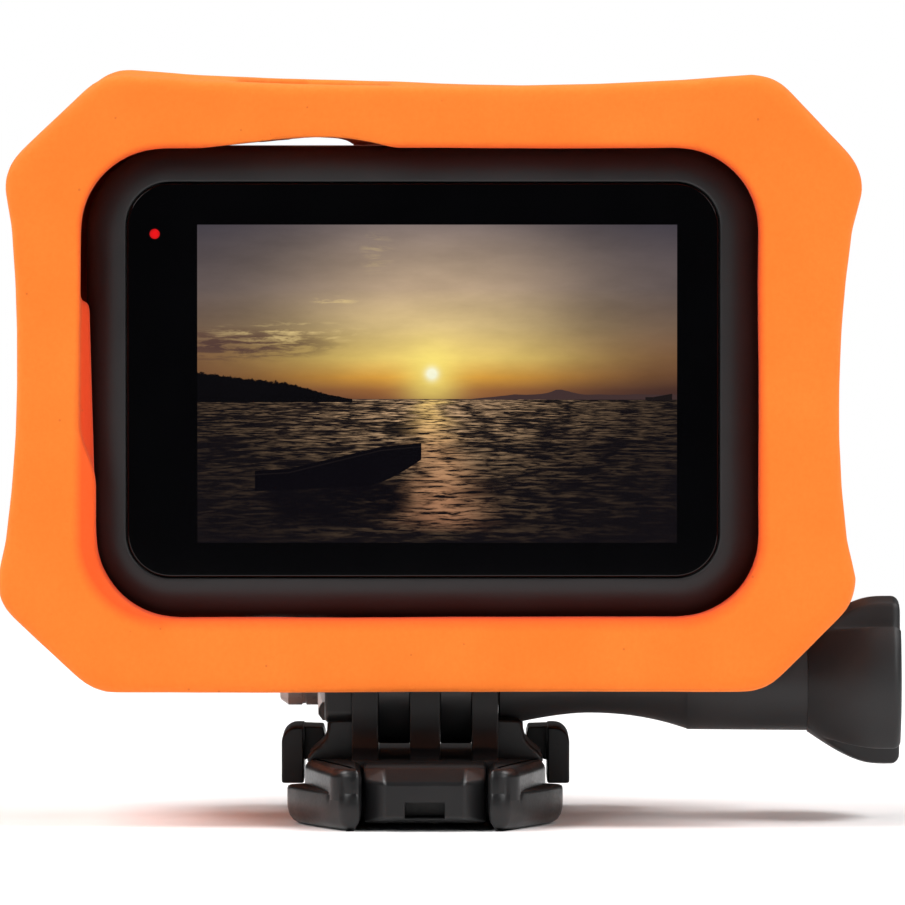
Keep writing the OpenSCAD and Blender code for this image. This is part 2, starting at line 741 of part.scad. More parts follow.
// Lobed outline: three broad lobes with V-shaped notches between them
function notch_turn(a) = abs(((a - lobe_turn) % 120 + 120) % 120 - 60);
function lobe_radius(a) = knob_r - notch_depth * max(0, 1 - notch_turn(a) / notch_half);

// Side views of the knob's stem and of its lobed head: radius against distance along the axis
function stem_profile() = concat(
  [[0, stem_x0]],
  [for (i = [0:20]) let (x = stem_x0 + (stem_x1 - stem_x0) * i / 20) [stem_radius(x), x]],
  [[stem_radius(stem_x1), stem_x1 + 1], [0, stem_x1 + 1]]);
function head_profile() = concat(
  [[0, stem_x1]],
  [for (i = [0:8]) let (x = stem_x1 + flare_len * i / 8) [flare_radius(x), x]],
  [[knob_r, knob_end - 1.4], [knob_r - 0.4, knob_end - 0.8], [knob_r - 1.4, knob_end - 0.3],
    [5, knob_end], [0, knob_end]]);

// Solid of revolution about the hinge axis
module turned(profile) {
  rotate([90, 0, 90]) translate([0, axis_z, 0]) rotate_extrude() polygon(profile);
}

module screw_knob() color([0.1, 0.1, 0.1])
  difference() {
    union() {
      turned(stem_profile());
      intersection() {
        turned(head_profile());
        along_x(stem_x1 - 1, knob_end + 1)
          translate([0, axis_z])
            polygon([for (a = [lobe_turn:5:lobe_turn + 356]) lobe_radius(a) * [-cos(a), sin(a)]]);
      }
    }
    rod_x(stem_x0 - 1, bolt_x1, bolt_r, 0, axis_z);
  }

// Plain shank whose free end is turned down
module screw_bolt() color([0.75, 0.75, 0.76]) {
  rod_x(bolt_x0 + tip_len, bolt_x1, bolt_r, 0, axis_z);
  rod_x(bolt_x0, bolt_x0 + tip_len + 0.1, bolt_r - 0.5, 0, axis_z);
}

rear_housing();
front_cover();
display_glass();
lcd_panel();
status_led_lens();
front_window();
front_status_screen();
front_led_lens();
shutter_button();
shutter_switch();
mode_button();
mode_switch();
speaker();
speaker_grille();
microphone_mesh();
side_door();
door_latch();
door_seal();
door_hinge_pin();
lens_ring();
lens_cover_glass();
lens_barrel();
lens_front_element();
lens_rear_elements();
image_sensor_board();
main_board();
board_screws();
heat_spreader();
battery();
battery_pull_tab();
memory_card();
usb_port();
finger_base();
finger_left();
finger_right();
finger_pins();
float_jacket();
buckle_base();
left_arm();
right_arm();
lock_nut();
screw_knob();
screw_bolt();
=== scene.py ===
"""Visual model of an action camera in a foam float jacket, on a thumb screw and a quick-release buckle."""
import json
import math
from functools import partialmethod

import bmesh
import bpy
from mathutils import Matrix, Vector, noise


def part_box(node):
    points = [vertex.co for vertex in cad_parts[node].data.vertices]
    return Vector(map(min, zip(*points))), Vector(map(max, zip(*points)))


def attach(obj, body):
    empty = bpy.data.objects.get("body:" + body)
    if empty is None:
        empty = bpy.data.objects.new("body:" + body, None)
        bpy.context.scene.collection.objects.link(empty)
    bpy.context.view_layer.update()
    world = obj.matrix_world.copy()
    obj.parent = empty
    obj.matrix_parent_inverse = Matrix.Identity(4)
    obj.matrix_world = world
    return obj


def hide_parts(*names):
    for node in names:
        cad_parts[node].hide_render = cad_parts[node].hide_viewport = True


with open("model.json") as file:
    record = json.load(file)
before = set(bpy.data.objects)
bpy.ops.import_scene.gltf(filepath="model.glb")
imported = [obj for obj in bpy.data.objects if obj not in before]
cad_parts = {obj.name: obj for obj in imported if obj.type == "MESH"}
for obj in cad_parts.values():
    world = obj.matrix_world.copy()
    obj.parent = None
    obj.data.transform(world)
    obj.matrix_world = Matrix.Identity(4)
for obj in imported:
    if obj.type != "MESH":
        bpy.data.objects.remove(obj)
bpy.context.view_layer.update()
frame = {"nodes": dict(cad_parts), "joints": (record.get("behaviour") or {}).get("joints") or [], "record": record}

MM = 0.001

# ---- sizes, in metres

CASE_LO, CASE_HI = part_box("rear_housing")
COVER_LO, COVER_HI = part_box("front_cover")
GLASS_LO, GLASS_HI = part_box("display_glass")
LCD_LO, LCD_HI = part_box("lcd_panel")
RING_LO, RING_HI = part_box("lens_ring")
AXIS_Z = next(j for j in frame["joints"] if j["name"] == "camera_tilt")["pos_m"][2]

CASE_R = 8.5 * MM
CASE_FRONT = 12.3 * MM
SPLIT_Y = 9 * MM
GLASS_R = 4.2 * MM
FOAM_SEED = 7

# The hinge and the buckle are worked out in millimetres
AXIS = AXIS_Z / MM
EAR_R = 6.3
HOLE_R = 2.55
DECK = 6.2
PIVOT_X, PIVOT_Y = 9.6, -1

GRAIN_DEPTH = 0.04 * MM
FINISHES = {}


# ---- mesh helpers

def centre(lo, hi):
    """Middle of a box in X and Z."""
    return (lo.x + hi.x) / 2, (lo.z + hi.z) / 2


def add_object(name, data):
    obj = bpy.data.objects.new(name, data)
    bpy.context.scene.collection.objects.link(obj)
    return obj


def finish_mesh(name, bm, sharp_deg=40):
    """Turns a bmesh into a smooth-shaded object whose real edges stay crisp."""
    bmesh.ops.recalc_face_normals(bm, faces=bm.faces)
    mesh = bpy.data.meshes.new(name)
    bm.to_mesh(mesh)
    bm.free()
    shade(mesh, sharp_deg)
    return add_object(name, mesh)


def shade(mesh, sharp_deg):
    mesh.polygons.foreach_set("use_smooth", [True] * len(mesh.polygons))
    mesh.set_sharp_from_angle(angle=math.radians(sharp_deg))
    mesh.update()


def loft(rings, loop=False):
    """Skin over rings of points that all have the same length: capped, or closed into a loop."""
    bm = bmesh.new()
    rows = [[bm.verts.new(p) for p in ring] for ring in rings]
    count = len(rows[0])
    pairs = list(zip(rows, rows[1:])) + ([(rows[-1], rows[0])] if loop else [])
    for low, high in pairs:
        for j in range(count):
            k = (j + 1) % count
            bm.faces.new((low[j], low[k], high[k], high[j]))
    if not loop:
        bm.faces.new(rows[0][::-1])
        bm.faces.new(rows[-1])
    return bm


def round_rect(w, h, r, x=0.0, z=0.0, steps=14):
    """Outline of a rectangle with round corners, anticlockwise from the right."""
    points = []
    for quarter, (sx, sz) in enumerate(((1, 1), (-1, 1), (-1, -1), (1, -1))):
        for i in range(steps + 1):
            a = math.radians(90 * (quarter + i / steps))
            points.append((x + sx * (w / 2 - r) + r * math.cos(a), z + sz * (h / 2 - r) + r * math.sin(a)))
    return points


def rounding(steps):
    """How far each step round a quarter turn is drawn in and has still to drop, as parts of its radius."""
    turns = [math.radians(90 * i / steps) for i in range(steps + 1)]
    return [(1 - math.cos(a), 1 - math.sin(a)) for a in turns]


def ring_y(outline, y):
    return [Vector((x, y, z)) for x, z in outline]


AXES = {
    "x": lambda a, b, t: Vector((t, a, b)),
    "y": lambda a, b, t: Vector((a, t, b)),
    "z": lambda a, b, t: Vector((a, b, t)),
}


def prism(outline, lo, hi, axis, bevel=0.3 * MM, segments=3, sharp_deg=24):
    """A closed outline pushed along an axis, with its real edges rounded."""
    place = AXES[axis]
    bm = loft([[place(a, b, t) for a, b in outline] for t in (lo, hi)])
    bmesh.ops.recalc_face_normals(bm, faces=bm.faces)
    edges = [e for e in bm.edges if e.calc_face_angle(0) > math.radians(sharp_deg)]
    if bevel:
        soften(bm, edges, bevel, segments)
    return bm


def soften(bm, edges, offset, segments=3):
    bmesh.ops.bevel(bm, geom=edges, offset=offset, segments=segments, profile=0.5,
                    affect="EDGES", clamp_overlap=True)


def block(outline, lo, hi, axis, bevel=0.3, **options):
    """A prism given in millimetres."""
    return prism(mm(outline), lo * MM, hi * MM, axis, bevel * MM, **options)


def box_outline(a0, b0, a1, b1):
    return [(a0, b0), (a1, b0), (a1, b1), (a0, b1)]


def arc(a, b, r, deg0, deg1, steps):
    return [(a + r * math.cos(math.radians(deg0 + (deg1 - deg0) * i / steps)),
             b + r * math.sin(math.radians(deg0 + (deg1 - deg0) * i / steps))) for i in range(steps + 1)]


def disc(a, b, r, count=48):
    """Whole circle as a closed outline."""
    return arc(a, b, r, 0, 360 - 360 / count, count - 1)


def mm(points):
    """Millimetres to metres."""
    return [(a * MM, b * MM) for a, b in points]


def mirrored(outline):
    """The same outline on the other side of the centre plane."""
    return [(-a, b) for a, b in reversed(outline)]


def combine(name, shapes, cuts=(), sharp_deg=30, join="UNION"):
    """Several bmeshes joined, less the cuts, as one clean object."""
    objects = [finish_mesh(f"{name}_{i}", bm) for i, bm in enumerate(list(shapes) + list(cuts))]
    base = objects[0]
    for i, other in enumerate(objects[1:], start=1):
        mod = base.modifiers.new("join", "BOOLEAN")
        mod.solver = "MANIFOLD"
        mod.operation = join if i < len(shapes) else "DIFFERENCE"
        mod.object = other
    mesh = applied(base)
    for obj in objects:
        bpy.data.objects.remove(obj, do_unlink=True)
    mesh.name = name
    shade(mesh, sharp_deg)
    return add_object(name, mesh)


def applied(obj):
    """The object's mesh with its modifiers applied."""
    graph = bpy.context.evaluated_depsgraph_get()
    graph.update()
    return bpy.data.meshes.new_from_object(obj.evaluated_get(graph))


def cad_copy(node, name):
    """An own copy of a CAD node's mesh, welded, to be shaped further."""
    obj = add_object(name, frame["nodes"][node].data.copy())
    bm = bmesh.new()
    bm.from_mesh(obj.data)
    bmesh.ops.remove_doubles(bm, verts=bm.verts, dist=1e-6)
    bm.to_mesh(obj.data)
    bm.free()
    obj.data.materials.clear()
    return obj


def install(obj, body, slot, node, finish=None):
    """Puts a finished piece on its body, in place of its CAD node; its flat faces shade flat."""
    normals = obj.modifiers.new("flat_faces", "WEIGHTED_NORMAL")
    normals.keep_sharp = True
    obj.data.materials.clear()
    obj.data.materials.append(FINISHES[finish or slot])
    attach(obj, body)
    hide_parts(node)


# ---- material helpers

class Nodes:
    """Node tree of a new finish, kept in FINISHES by its name."""

    def __init__(self, name, **sockets):
        self.material = FINISHES[name] = bpy.data.materials.new(name)
        self.material.use_nodes = True
        self.tree = self.material.node_tree
        self.bsdf = self.tree.nodes["Principled BSDF"]
        self.position = self.new("TexCoord").outputs["Object"]
        for key, value in sockets.items():
            self.bsdf.inputs[key.replace("_", " ")].default_value = value

    def new(self, kind, **values):
        """A node of one kind with its inputs set."""
        node = self.tree.nodes.new(f"ShaderNode{kind}")
        for key, value in values.items():
            self.put(value, node.inputs[key.replace("_", " ")])
        return node

    def put(self, value, socket):
        """Sets a socket to a number or a colour, or links another node to it."""
        if isinstance(value, tuple):
            socket.default_value = (*value, 1.0)
        elif isinstance(value, (int, float)):
            socket.default_value = value
        else:
            self.tree.links.new(value, socket)

    def feed(self, key, source):
        self.put(source, self.bsdf.inputs[key])

    def math(self, operation, a, b=0.0, c=0.0, clamp=False):
        node = self.new("Math")
        node.operation = operation
        node.use_clamp = clamp
        for socket, value in zip(node.inputs, (a, b, c)):
            self.put(value, socket)
        return node.outputs[0]

    add = partialmethod(math, "ADD")
    sub = partialmethod(math, "SUBTRACT")
    mul = partialmethod(math, "MULTIPLY")
    div = partialmethod(math, "DIVIDE")
    pow = partialmethod(math, "POWER")
    max = partialmethod(math, "MAXIMUM")

    def scaled(self, *scale):
        node = self.new("Mapping", Vector=self.position)
        node.inputs["Scale"].default_value = scale
        return node.outputs[0]

    def noise(self, size, detail=3.0, rough=0.5, vector=None, distortion=0.0):
        """Noise whose features are about size metres across."""
        return self.new("TexNoise", Scale=1.0 / size, Detail=detail, Roughness=rough, Distortion=distortion,
                        Vector=vector or self.position).outputs["Fac"]

    def cells(self, size, feature="F1"):
        node = self.new("TexVoronoi", Scale=1.0 / size, Vector=self.position)
        node.feature = feature
        return node.outputs["Distance"]

    def ramp(self, source, stops, smooth=False):
        node = self.new("ValToRGB", Fac=source)
        node.color_ramp.interpolation = "EASE" if smooth else "LINEAR"
        elements = node.color_ramp.elements
        while len(elements) < len(stops):
            elements.new(0.5)
        for element, (place, colour) in zip(elements, stops):
            element.position = place
            element.color = (*colour, 1.0) if isinstance(colour, tuple) else (colour, colour, colour, 1.0)
        return node.outputs["Color"]

    def mix(self, factor, a, b, blend="MIX"):
        node = self.new("Mix")
        node.data_type = "RGBA"
        node.blend_type = blend
        for key, value in (("Factor", factor), ("A", a), ("B", b)):
            self.put(value, node.inputs[key])
        return node.outputs["Result"]

    def remap(self, source, lo=0.3, hi=0.7, to_lo=0.0, to_hi=1.0):
        """Straight ramp between two values, held at both ends."""
        return self.new("MapRange", Value=source, From_Min=lo, From_Max=hi,
                        To_Min=to_lo, To_Max=to_hi).outputs[0]

    def xyz(self, vector=None):
        return self.new("SeparateXYZ", Vector=vector or self.position).outputs

    def combine(self, x, y, z=0.0):
        return self.new("CombineXYZ", X=x, Y=y, Z=z).outputs[0]

    def bump(self, height, strength, depth):
        self.feed("Normal", self.new("Bump", Strength=strength, Distance=depth, Height=height).outputs[0])


def plastic(name, dark, light, rough_lo, rough_hi, grain, bump, **sockets):
    """Moulded plastic: mottled colour, uneven gloss and a fine eroded grain, its size in millimetres."""
    n = Nodes(name, **sockets)
    broad = n.noise(9 * MM, detail=4)
    fine = n.noise(grain * MM, detail=2, rough=0.6)
    n.feed("Base Color", n.mix(n.remap(broad), dark, light))
    uneven = n.add(n.mul(broad, 0.6), n.mul(fine, 0.4))
    n.feed("Roughness", n.remap(uneven, 0.35, 0.65, rough_lo, rough_hi))
    n.bump(fine, bump, GRAIN_DEPTH)


def metal(name, colour_a, colour_b, rough_lo, rough_hi, stretch=(1, 8, 8)):
    """Drawn or turned metal with fine streaks."""
    n = Nodes(name, Metallic=1.0)
    streaks = n.noise(0.5 * MM, detail=4, vector=n.scaled(*stretch))
    n.feed("Base Color", n.mix(streaks, colour_a, colour_b))
    n.feed("Roughness", n.remap(streaks, 0.3, 0.7, rough_lo, rough_hi))
    n.bump(streaks, 0.12, GRAIN_DEPTH / 2)


def cut_distance(n, x, z):
    """Distance in the XZ plane outside the rounded rectangle of the display opening."""
    left, right, low, high, r = -33.4 * MM, 32.6 * MM, 20.5 * MM, 66.4 * MM, 8 * MM
    out_x = n.sub(n.math("ABSOLUTE", n.sub(x, (left + right) / 2)), (right - left) / 2 - r)
    out_z = n.sub(n.math("ABSOLUTE", n.sub(z, (low + high) / 2)), (high - low) / 2 - r)
    square_x = n.pow(n.max(out_x, 0.0), 2.0)
    square_z = n.pow(n.max(out_z, 0.0), 2.0)
    corner = n.math("SQRT", n.add(square_x, square_z))
    return n.sub(n.add(corner, n.math("MINIMUM", n.max(out_x, out_z), 0.0)), r)


def foam_material():
    """Closed-cell foam: a soft moulded skin with faint mottling, pores and pin marks, and painted shade along the
    cut edge of the opening and on the walls behind it.
    """
    n = Nodes("foam_orange", Sheen_Weight=0.05, Sheen_Roughness=0.5, Specular_IOR_Level=0.15)
    mottle = n.noise(11 * MM, detail=5, rough=0.55)
    skin = n.noise(0.55 * MM, detail=4, rough=0.65)
    pores = n.cells(2.6 * MM)
    colour = n.mix(n.remap(mottle, 0.3, 0.72), (0.84, 0.180, 0.019), (0.90, 0.210, 0.026))
    colour = n.mix(n.remap(skin, 0.35, 0.8, 0.0, 0.35), colour, (0.78, 0.148, 0.014))
    # Painted shade and red bounce light: the cut edge of the opening and the walls behind it are painted a deeper
    # red orange than the skin, over a wider band low down
    x, y, z = n.xyz()
    beside = cut_distance(n, x, z)
    depth = n.math("MINIMUM", n.remap(y, -15.6 * MM, -13.4 * MM),
                   n.remap(y, 13.6 * MM, 15.4 * MM, 1.0, 0.0))
    # Painted shade on the walls behind the rear opening
    painted_wall_shade = n.mul(depth, n.remap(beside, 1.8 * MM, 2.6 * MM, 1.0, 0.0))
    # Painted shade along the rear cut edge of the opening, wider low down
    reach = n.remap(z, 22 * MM, 50 * MM, 1.35 * MM, 0.7 * MM)
    edge = n.pow(n.sub(1.0, n.div(beside, reach), clamp=True), 1.4)
    edge = n.mul(edge, n.math("LESS_THAN", y, 0.0))
    colour = n.mix(n.mul(edge, 0.8), colour, (0.78, 0.070, 0.011))
    colour = n.mix(n.mul(painted_wall_shade, 0.9), colour, (0.70, 0.055, 0.012))
    specks = n.ramp(pores, [(0.0, 1.0), (0.035, 1.0), (0.06, 0.0)])
    colour = n.mix(n.mul(specks, 0.4), colour, (0.42, 0.07, 0.012))
    n.feed("Base Color", colour)
    n.feed("Roughness", n.remap(skin, 0.3, 0.7, 0.62, 0.82))
    height = n.add(n.mul(skin, 0.5), n.mul(mottle, 1.6))
    n.bump(n.sub(height, n.mul(specks, 0.4)), 0.36, 0.00022)


def buckle_material():
    """Moulded nylon with a soft gloss on its sides and a matt deck."""
    n = Nodes("buckle_black", Specular_IOR_Level=0.34)
    broad = n.noise(9 * MM, detail=4)
    fine = n.noise(0.35 * MM, detail=2, rough=0.6)
    upward = n.xyz(n.position.node.outputs["Normal"])[2]
    deck = n.remap(upward, 0.85, 0.97)
    n.feed("Base Color", n.mix(n.remap(broad), (0.0050, 0.0049, 0.0053), (0.0085, 0.0083, 0.0088)))
    n.feed("Roughness", n.add(n.remap(fine, 0.3, 0.7, 0.29, 0.39), n.mul(deck, 0.4)))
    n.bump(fine, 0.05, GRAIN_DEPTH)


# ---- picture on the rear display

HORIZON = 0.452
SUN_U, SUN_V = 0.489, 0.531


def spread(n, u, v, at_u, at_v, wide, high):
    """Squared distance from the middle of an ellipse, 1 on its rim."""
    off_u = n.pow(n.div(n.sub(u, at_u), wide), 2.0)
    off_v = n.pow(n.div(n.sub(v, at_v), high), 2.0)
    return n.add(off_u, off_v)


def blob(n, *ellipse):
    """Soft elliptical patch, 1 at its middle and 0 at its rim."""
    return n.max(n.sub(1.0, spread(n, *ellipse)), 0.0)


def glow(n, *ellipse):
    """Soft light that fades away without a rim, 1 at its middle."""
    return n.math("EXPONENT", n.mul(spread(n, *ellipse), -1.0))


def sky_colour(n, u, v):
    """Evening sky: orange low down, violet grey above, a small sun in a wide glow, torn cloud on the left."""
    sides = n.ramp(v, [(HORIZON, (0.045, 0.021, 0.020)), (0.48, (0.060, 0.027, 0.022)),
                       (0.53, (0.14, 0.062, 0.032)), (0.58, (0.17, 0.080, 0.040)),
                       (0.68, (0.140, 0.088, 0.062)), (0.80, (0.110, 0.084, 0.082)),
                       (1.0, (0.050, 0.044, 0.056))])
    middle = n.ramp(v, [(HORIZON, (0.24, 0.092, 0.036)), (0.48, (0.36, 0.145, 0.040)),
                        (0.52, (0.76, 0.37, 0.050)), (0.58, (0.88, 0.64, 0.165)),
                        (0.68, (0.72, 0.53, 0.235)), (0.80, (0.52, 0.375, 0.245)),
                        (1.0, (0.220, 0.170, 0.155))])
    sky = n.mix(glow(n, u, v, SUN_U, HORIZON + 0.25, 0.27, 2.0), sides, middle)
    sky = n.mix(n.mul(glow(n, u, v, SUN_U, SUN_V, 0.055, 0.085), 0.75), sky, (1.0, 0.84, 0.20))
    sky = n.mix(n.mul(glow(n, u, v, SUN_U, SUN_V, 0.0125, 0.019), 1.6, clamp=True), sky, (1.0, 0.99, 0.72))

    shred = n.noise(0.075, detail=8, rough=0.66, vector=n.combine(u, n.mul(v, 4.5), 0.3), distortion=0.4)
    veil = n.noise(0.30, detail=5, rough=0.6, vector=n.combine(u, n.mul(v, 2.2), 5.1))
    shade = n.remap(veil, 0.3, 0.7, 0.84, 1.14)
    sky = n.mix(1.0, sky, n.combine(shade, shade, shade), "MULTIPLY")
    bright = n.add(blob(n, u, v, 0.19, 0.660, 0.18, 0.042), blob(n, u, v, 0.285, 0.762, 0.055, 0.018))
    bright = n.add(bright, n.mul(blob(n, u, v, 0.375, 0.91, 0.04, 0.08), 0.35))
    wisp = n.remap(shred, 0.50, 0.66)
    sky = n.mix(n.mul(n.mul(bright, wisp), 0.75), sky, (0.80, 0.60, 0.26))
    gloom = n.mul(blob(n, u, v, 0.05, 0.622, 0.27, 0.060), n.remap(shred, 0.56, 0.44))
    return n.mix(gloom, sky, (0.088, 0.045, 0.036))


def water_colour(n, u, v):
    """Choppy water: crests that grow towards the viewer, long dark swells, and a broken path of light."""
    du = n.sub(u, SUN_U)
    depth = n.max(n.sub(HORIZON, v), 0.0)
    near = n.add(depth, 0.03)
    across = n.div(n.mul(du, 5.2), n.pow(near, 0.32))
    along = n.mul(n.pow(near, 0.325), 62.0)
    chop = n.noise(0.42, detail=7, rough=0.68, vector=n.combine(across, along, 0.0), distortion=0.5)
    swell = n.noise(0.9, detail=4, rough=0.55, vector=n.combine(n.mul(across, 0.35),
                                                                n.mul(along, 0.30), 4.0))
    crest = n.remap(chop, 0.45, 0.66)
    line = n.remap(n.math("ABSOLUTE", n.sub(swell, 0.5)), 0.012, 0.055, 0.05, 1.0)
    fade = n.ramp(v, [(0.0, 0.05), (0.10, 0.16), (0.20, 0.22), (0.29, 0.42), (0.36, 0.75), (0.42, 1.0)])
    halo = n.add(0.10, n.mul(glow(n, u, v, SUN_U, v, 0.25, 1.0), 0.80))
    lit = n.mul(n.mul(crest, line), n.mul(fade, halo))
    water = n.mix(lit, (0.0042, 0.0031, 0.0042), (0.92, 0.58, 0.32))

    drift = n.add(du, n.remap(depth, 0.10, 0.38, 0.0, -0.022))
    width = n.add(0.024, n.mul(depth, 0.12))
    frayed = n.add(drift, n.mul(n.sub(swell, 0.5), 0.10))
    path = n.math("EXPONENT", n.mul(n.pow(n.div(frayed, width), 2.0), -1.0))
    glint = n.mul(path, n.remap(chop, 0.41, 0.55))
    glint = n.mul(glint, n.ramp(v, [(0.03, 0.0), (0.09, 0.45), (0.25, 0.60), (0.38, 1.0)]))
    return n.mix(glint, water, n.ramp(v, [(0.05, (0.78, 0.36, 0.19)), (0.30, (0.70, 0.38, 0.18)),
                                          (HORIZON, (0.92, 0.62, 0.20))]))


def inside(n, value, lo, hi):
    """1 where a value lies between two others."""
    return n.mul(n.math("GREATER_THAN", value, lo), n.math("LESS_THAN", value, hi))


def with_land(n, image, u, v):
    """A wooded headland on the left, low hills on the right, and a far boat."""
    over = n.sub(v, HORIZON)
    low = n.noise(0.10, detail=3, vector=n.combine(u, 7.3, 0.0))
    far = n.mul(n.remap(u, 0.57, 0.66), n.add(0.006, n.mul(low, 0.016)))
    peak = n.add(0.009, n.mul(n.noise(0.02, detail=4, vector=n.combine(u, 3.1, 0.0)), 0.010))
    far = n.add(far, n.mul(glow(n, u, v, 0.757, v, 0.028, 1.0), peak))
    image = n.mix(inside(n, over, -0.002, far), image, (0.052, 0.029, 0.028))
    tops = n.noise(0.016, detail=8, rough=0.85, vector=n.combine(u, n.mul(v, 0.6), 0.0))
    head = n.add(n.remap(u, 0.0, 0.318, 0.060, 0.004), n.mul(tops, 0.046))
    head = n.mul(head, n.remap(u, 0.20, 0.325, 1.0, 0.0))
    land = n.mul(inside(n, over, -0.010, head), n.math("LESS_THAN", u, 0.323))
    image = n.mix(land, image, (0.0018, 0.0015, 0.0020))
    distant = n.mul(inside(n, u, 0.934, 0.990),
                    inside(n, over, -0.004, n.remap(u, 0.95, 0.987, 0.006, 0.016)))
    return n.mix(distant, image, (0.010, 0.007, 0.007))


def with_boat(n, image, u, v):
    """A long open boat that rises to its bow, with its dark reflection below."""
    sheer = n.add(n.remap(u, 0.12, 0.19, 0.226, 0.232), n.remap(u, 0.19, 0.383, 0.0, 0.070))
    sheer = n.add(sheer, n.remap(u, 0.383, 0.466, 0.0, 0.012))
    keel = n.add(n.remap(u, 0.12, 0.35, 0.162, 0.178),
                  n.mul(n.pow(n.remap(u, 0.35, 0.468), 1.5), 0.085))
    span = inside(n, u, 0.120, 0.467)
    shade = blob(n, u, v, 0.290, 0.135, 0.17, 0.095)
    ragged = n.noise(0.03, detail=3, vector=n.combine(u, n.mul(v, 3.0), 2.0))
    shade = n.mul(n.mul(shade, 2.2, clamp=True), n.remap(ragged, 0.3, 0.55, 0.7, 1.0))
    image = n.mix(shade, image, (0.0026, 0.0019, 0.0030))
    hull = n.mul(span, inside(n, v, keel, sheer))
    image = n.mix(hull, image, (0.0019, 0.0014, 0.0025))
    rim = n.mul(span, inside(n, n.sub(sheer, v), 0.010, 0.0135))
    return n.mix(n.mul(rim, 0.5), image, (0.014, 0.010, 0.010))


def picture(n):
    """A sunset over choppy water as a colour, and a mask of the lit panel."""
    x, _, z = n.xyz()
    u = n.div(n.sub(x, LCD_LO.x), LCD_HI.x - LCD_LO.x)
    v = n.div(n.sub(z, LCD_LO.z), LCD_HI.z - LCD_LO.z)
    image = n.mix(n.math("GREATER_THAN", v, HORIZON), water_colour(n, u, v), sky_colour(n, u, v))
    image = with_boat(n, with_land(n, image, u, v), u, v)
    return image, n.mul(inside(n, u, 0.0, 1.0), inside(n, v, 0.0, 1.0))


def display_material():
    """Black-bordered touch glass with the lit picture behind it."""
    n = Nodes("display_glass", Roughness=0.05, Specular_IOR_Level=0.30, Emission_Strength=1.0)
    image, panel = picture(n)
    smear = n.noise(6 * MM, detail=4)
    n.feed("Base Color", n.mix(n.remap(smear), (0.0004, 0.0004, 0.0007), (0.0008, 0.0008, 0.0012)))
    n.feed("Emission Color", n.mix(panel, (0.0, 0.0, 0.0), image))


def glass_black_material():
    n = Nodes("cover_glass", Roughness=0.06)
    smear = n.noise(5 * MM, detail=4)
    n.feed("Base Color", n.mix(smear, (0.003, 0.003, 0.004), (0.007, 0.007, 0.009)))


def status_glass_material():
    """Black front window with the unlit status panel faintly visible behind it."""
    lo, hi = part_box("front_status_screen")
    n = Nodes("status_glass", Roughness=0.07)
    x, _, z = n.xyz()
    screen = n.mul(inside(n, x, lo.x, hi.x), inside(n, z, lo.z, hi.z))
    smear = n.noise(5 * MM, detail=4)
    panel = n.mix(smear, (0.010, 0.012, 0.014), (0.014, 0.017, 0.020))
    n.feed("Base Color", n.mix(screen, (0.003, 0.003, 0.004), panel))
    n.feed("Roughness", n.remap(smear, 0.3, 0.7, 0.05, 0.10))


def lamp_material():
    """Small red light pipe: lit at the rear, brightest in its middle, and dark at the front."""
    lo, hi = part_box("status_led_lens")
    n = Nodes("red_lamp", Roughness=0.3, Specular_IOR_Level=0.15, Emission_Strength=1.0)
    grain = n.noise(0.3 * MM)
    x, _, z = n.xyz()
    mid_x, mid_z = centre(lo, hi)
    lit = n.pow(blob(n, x, z, mid_x, mid_z, 0.56 * (hi.x - lo.x), 0.56 * (hi.z - lo.z)), 0.45)
    n.feed("Base Color", n.mix(grain, (0.10, 0.002, 0.002), (0.16, 0.003, 0.003)))
    red = n.mix(grain, (0.62, 0.001, 0.003), (0.76, 0.002, 0.005))
    n.feed("Emission Color", n.mix(lit, (0.02, 0.0, 0.0), red))


def coated_glass_material():
    """Optical glass: clear, with the faint violet and green of its coating at a slant."""
    n = Nodes("lens_glass", Roughness=0.02, IOR=1.5, Specular_IOR_Level=0.16, Transmission_Weight=1.0,
              Coat_Weight=0.12, Coat_Roughness=0.02)
    facing = n.new("LayerWeight", Blend=0.35).outputs["Facing"]
    tint = n.ramp(facing, [(0.0, (0.26, 0.29, 0.36)), (0.45, (0.20, 0.18, 0.34)),
                           (0.8, (0.18, 0.30, 0.23))], smooth=True)
    dust = n.noise(0.8 * MM, detail=5)
    n.feed("Base Color", n.mix(n.remap(dust, 0.55, 0.8, 0.0, 0.03), tint, (0.5, 0.5, 0.5)))


def board_material():
    """Solder mask with copper tracks under it and bright pads."""
    n = Nodes("circuit_board", Roughness=0.35)
    tracks = n.cells(1.6 * MM, feature="DISTANCE_TO_EDGE")
    grain = n.noise(0.4 * MM)
    base = n.mix(n.ramp(tracks, [(0.03, 1.0), (0.07, 0.0)]), (0.012, 0.085, 0.040), (0.045, 0.22, 0.085))
    pads = n.cells(2.3 * MM)
    n.feed("Base Color", n.mix(n.ramp(pads, [(0.09, 1.0), (0.12, 0.0)]), base, (0.66, 0.58, 0.40)))
    n.feed("Roughness", n.remap(grain, 0.3, 0.7, 0.28, 0.45))


def mesh_material():
    """Woven acoustic mesh: dark threads with open squares between them."""
    n = Nodes("fine_mesh", Roughness=0.7)
    weave = n.cells(0.22 * MM)
    n.feed("Base Color", n.ramp(weave, [(0.2, (0.003, 0.003, 0.003)), (0.5, (0.055, 0.055, 0.058))]))
    n.bump(weave, 0.5, 0.00005)


def small_screen_material():
    """Monochrome segment display, unlit: a faint pixel grid under grey glass."""
    n = Nodes("small_screen", Roughness=0.25)
    x, _, z = n.xyz()
    grid = n.max(n.math("FRACT", n.mul(x, 4000.0)), n.math("FRACT", n.mul(z, 4000.0)))
    n.feed("Base Color", n.ramp(grid, [(0.8, (0.035, 0.045, 0.048)), (0.9, (0.014, 0.017, 0.019))]))


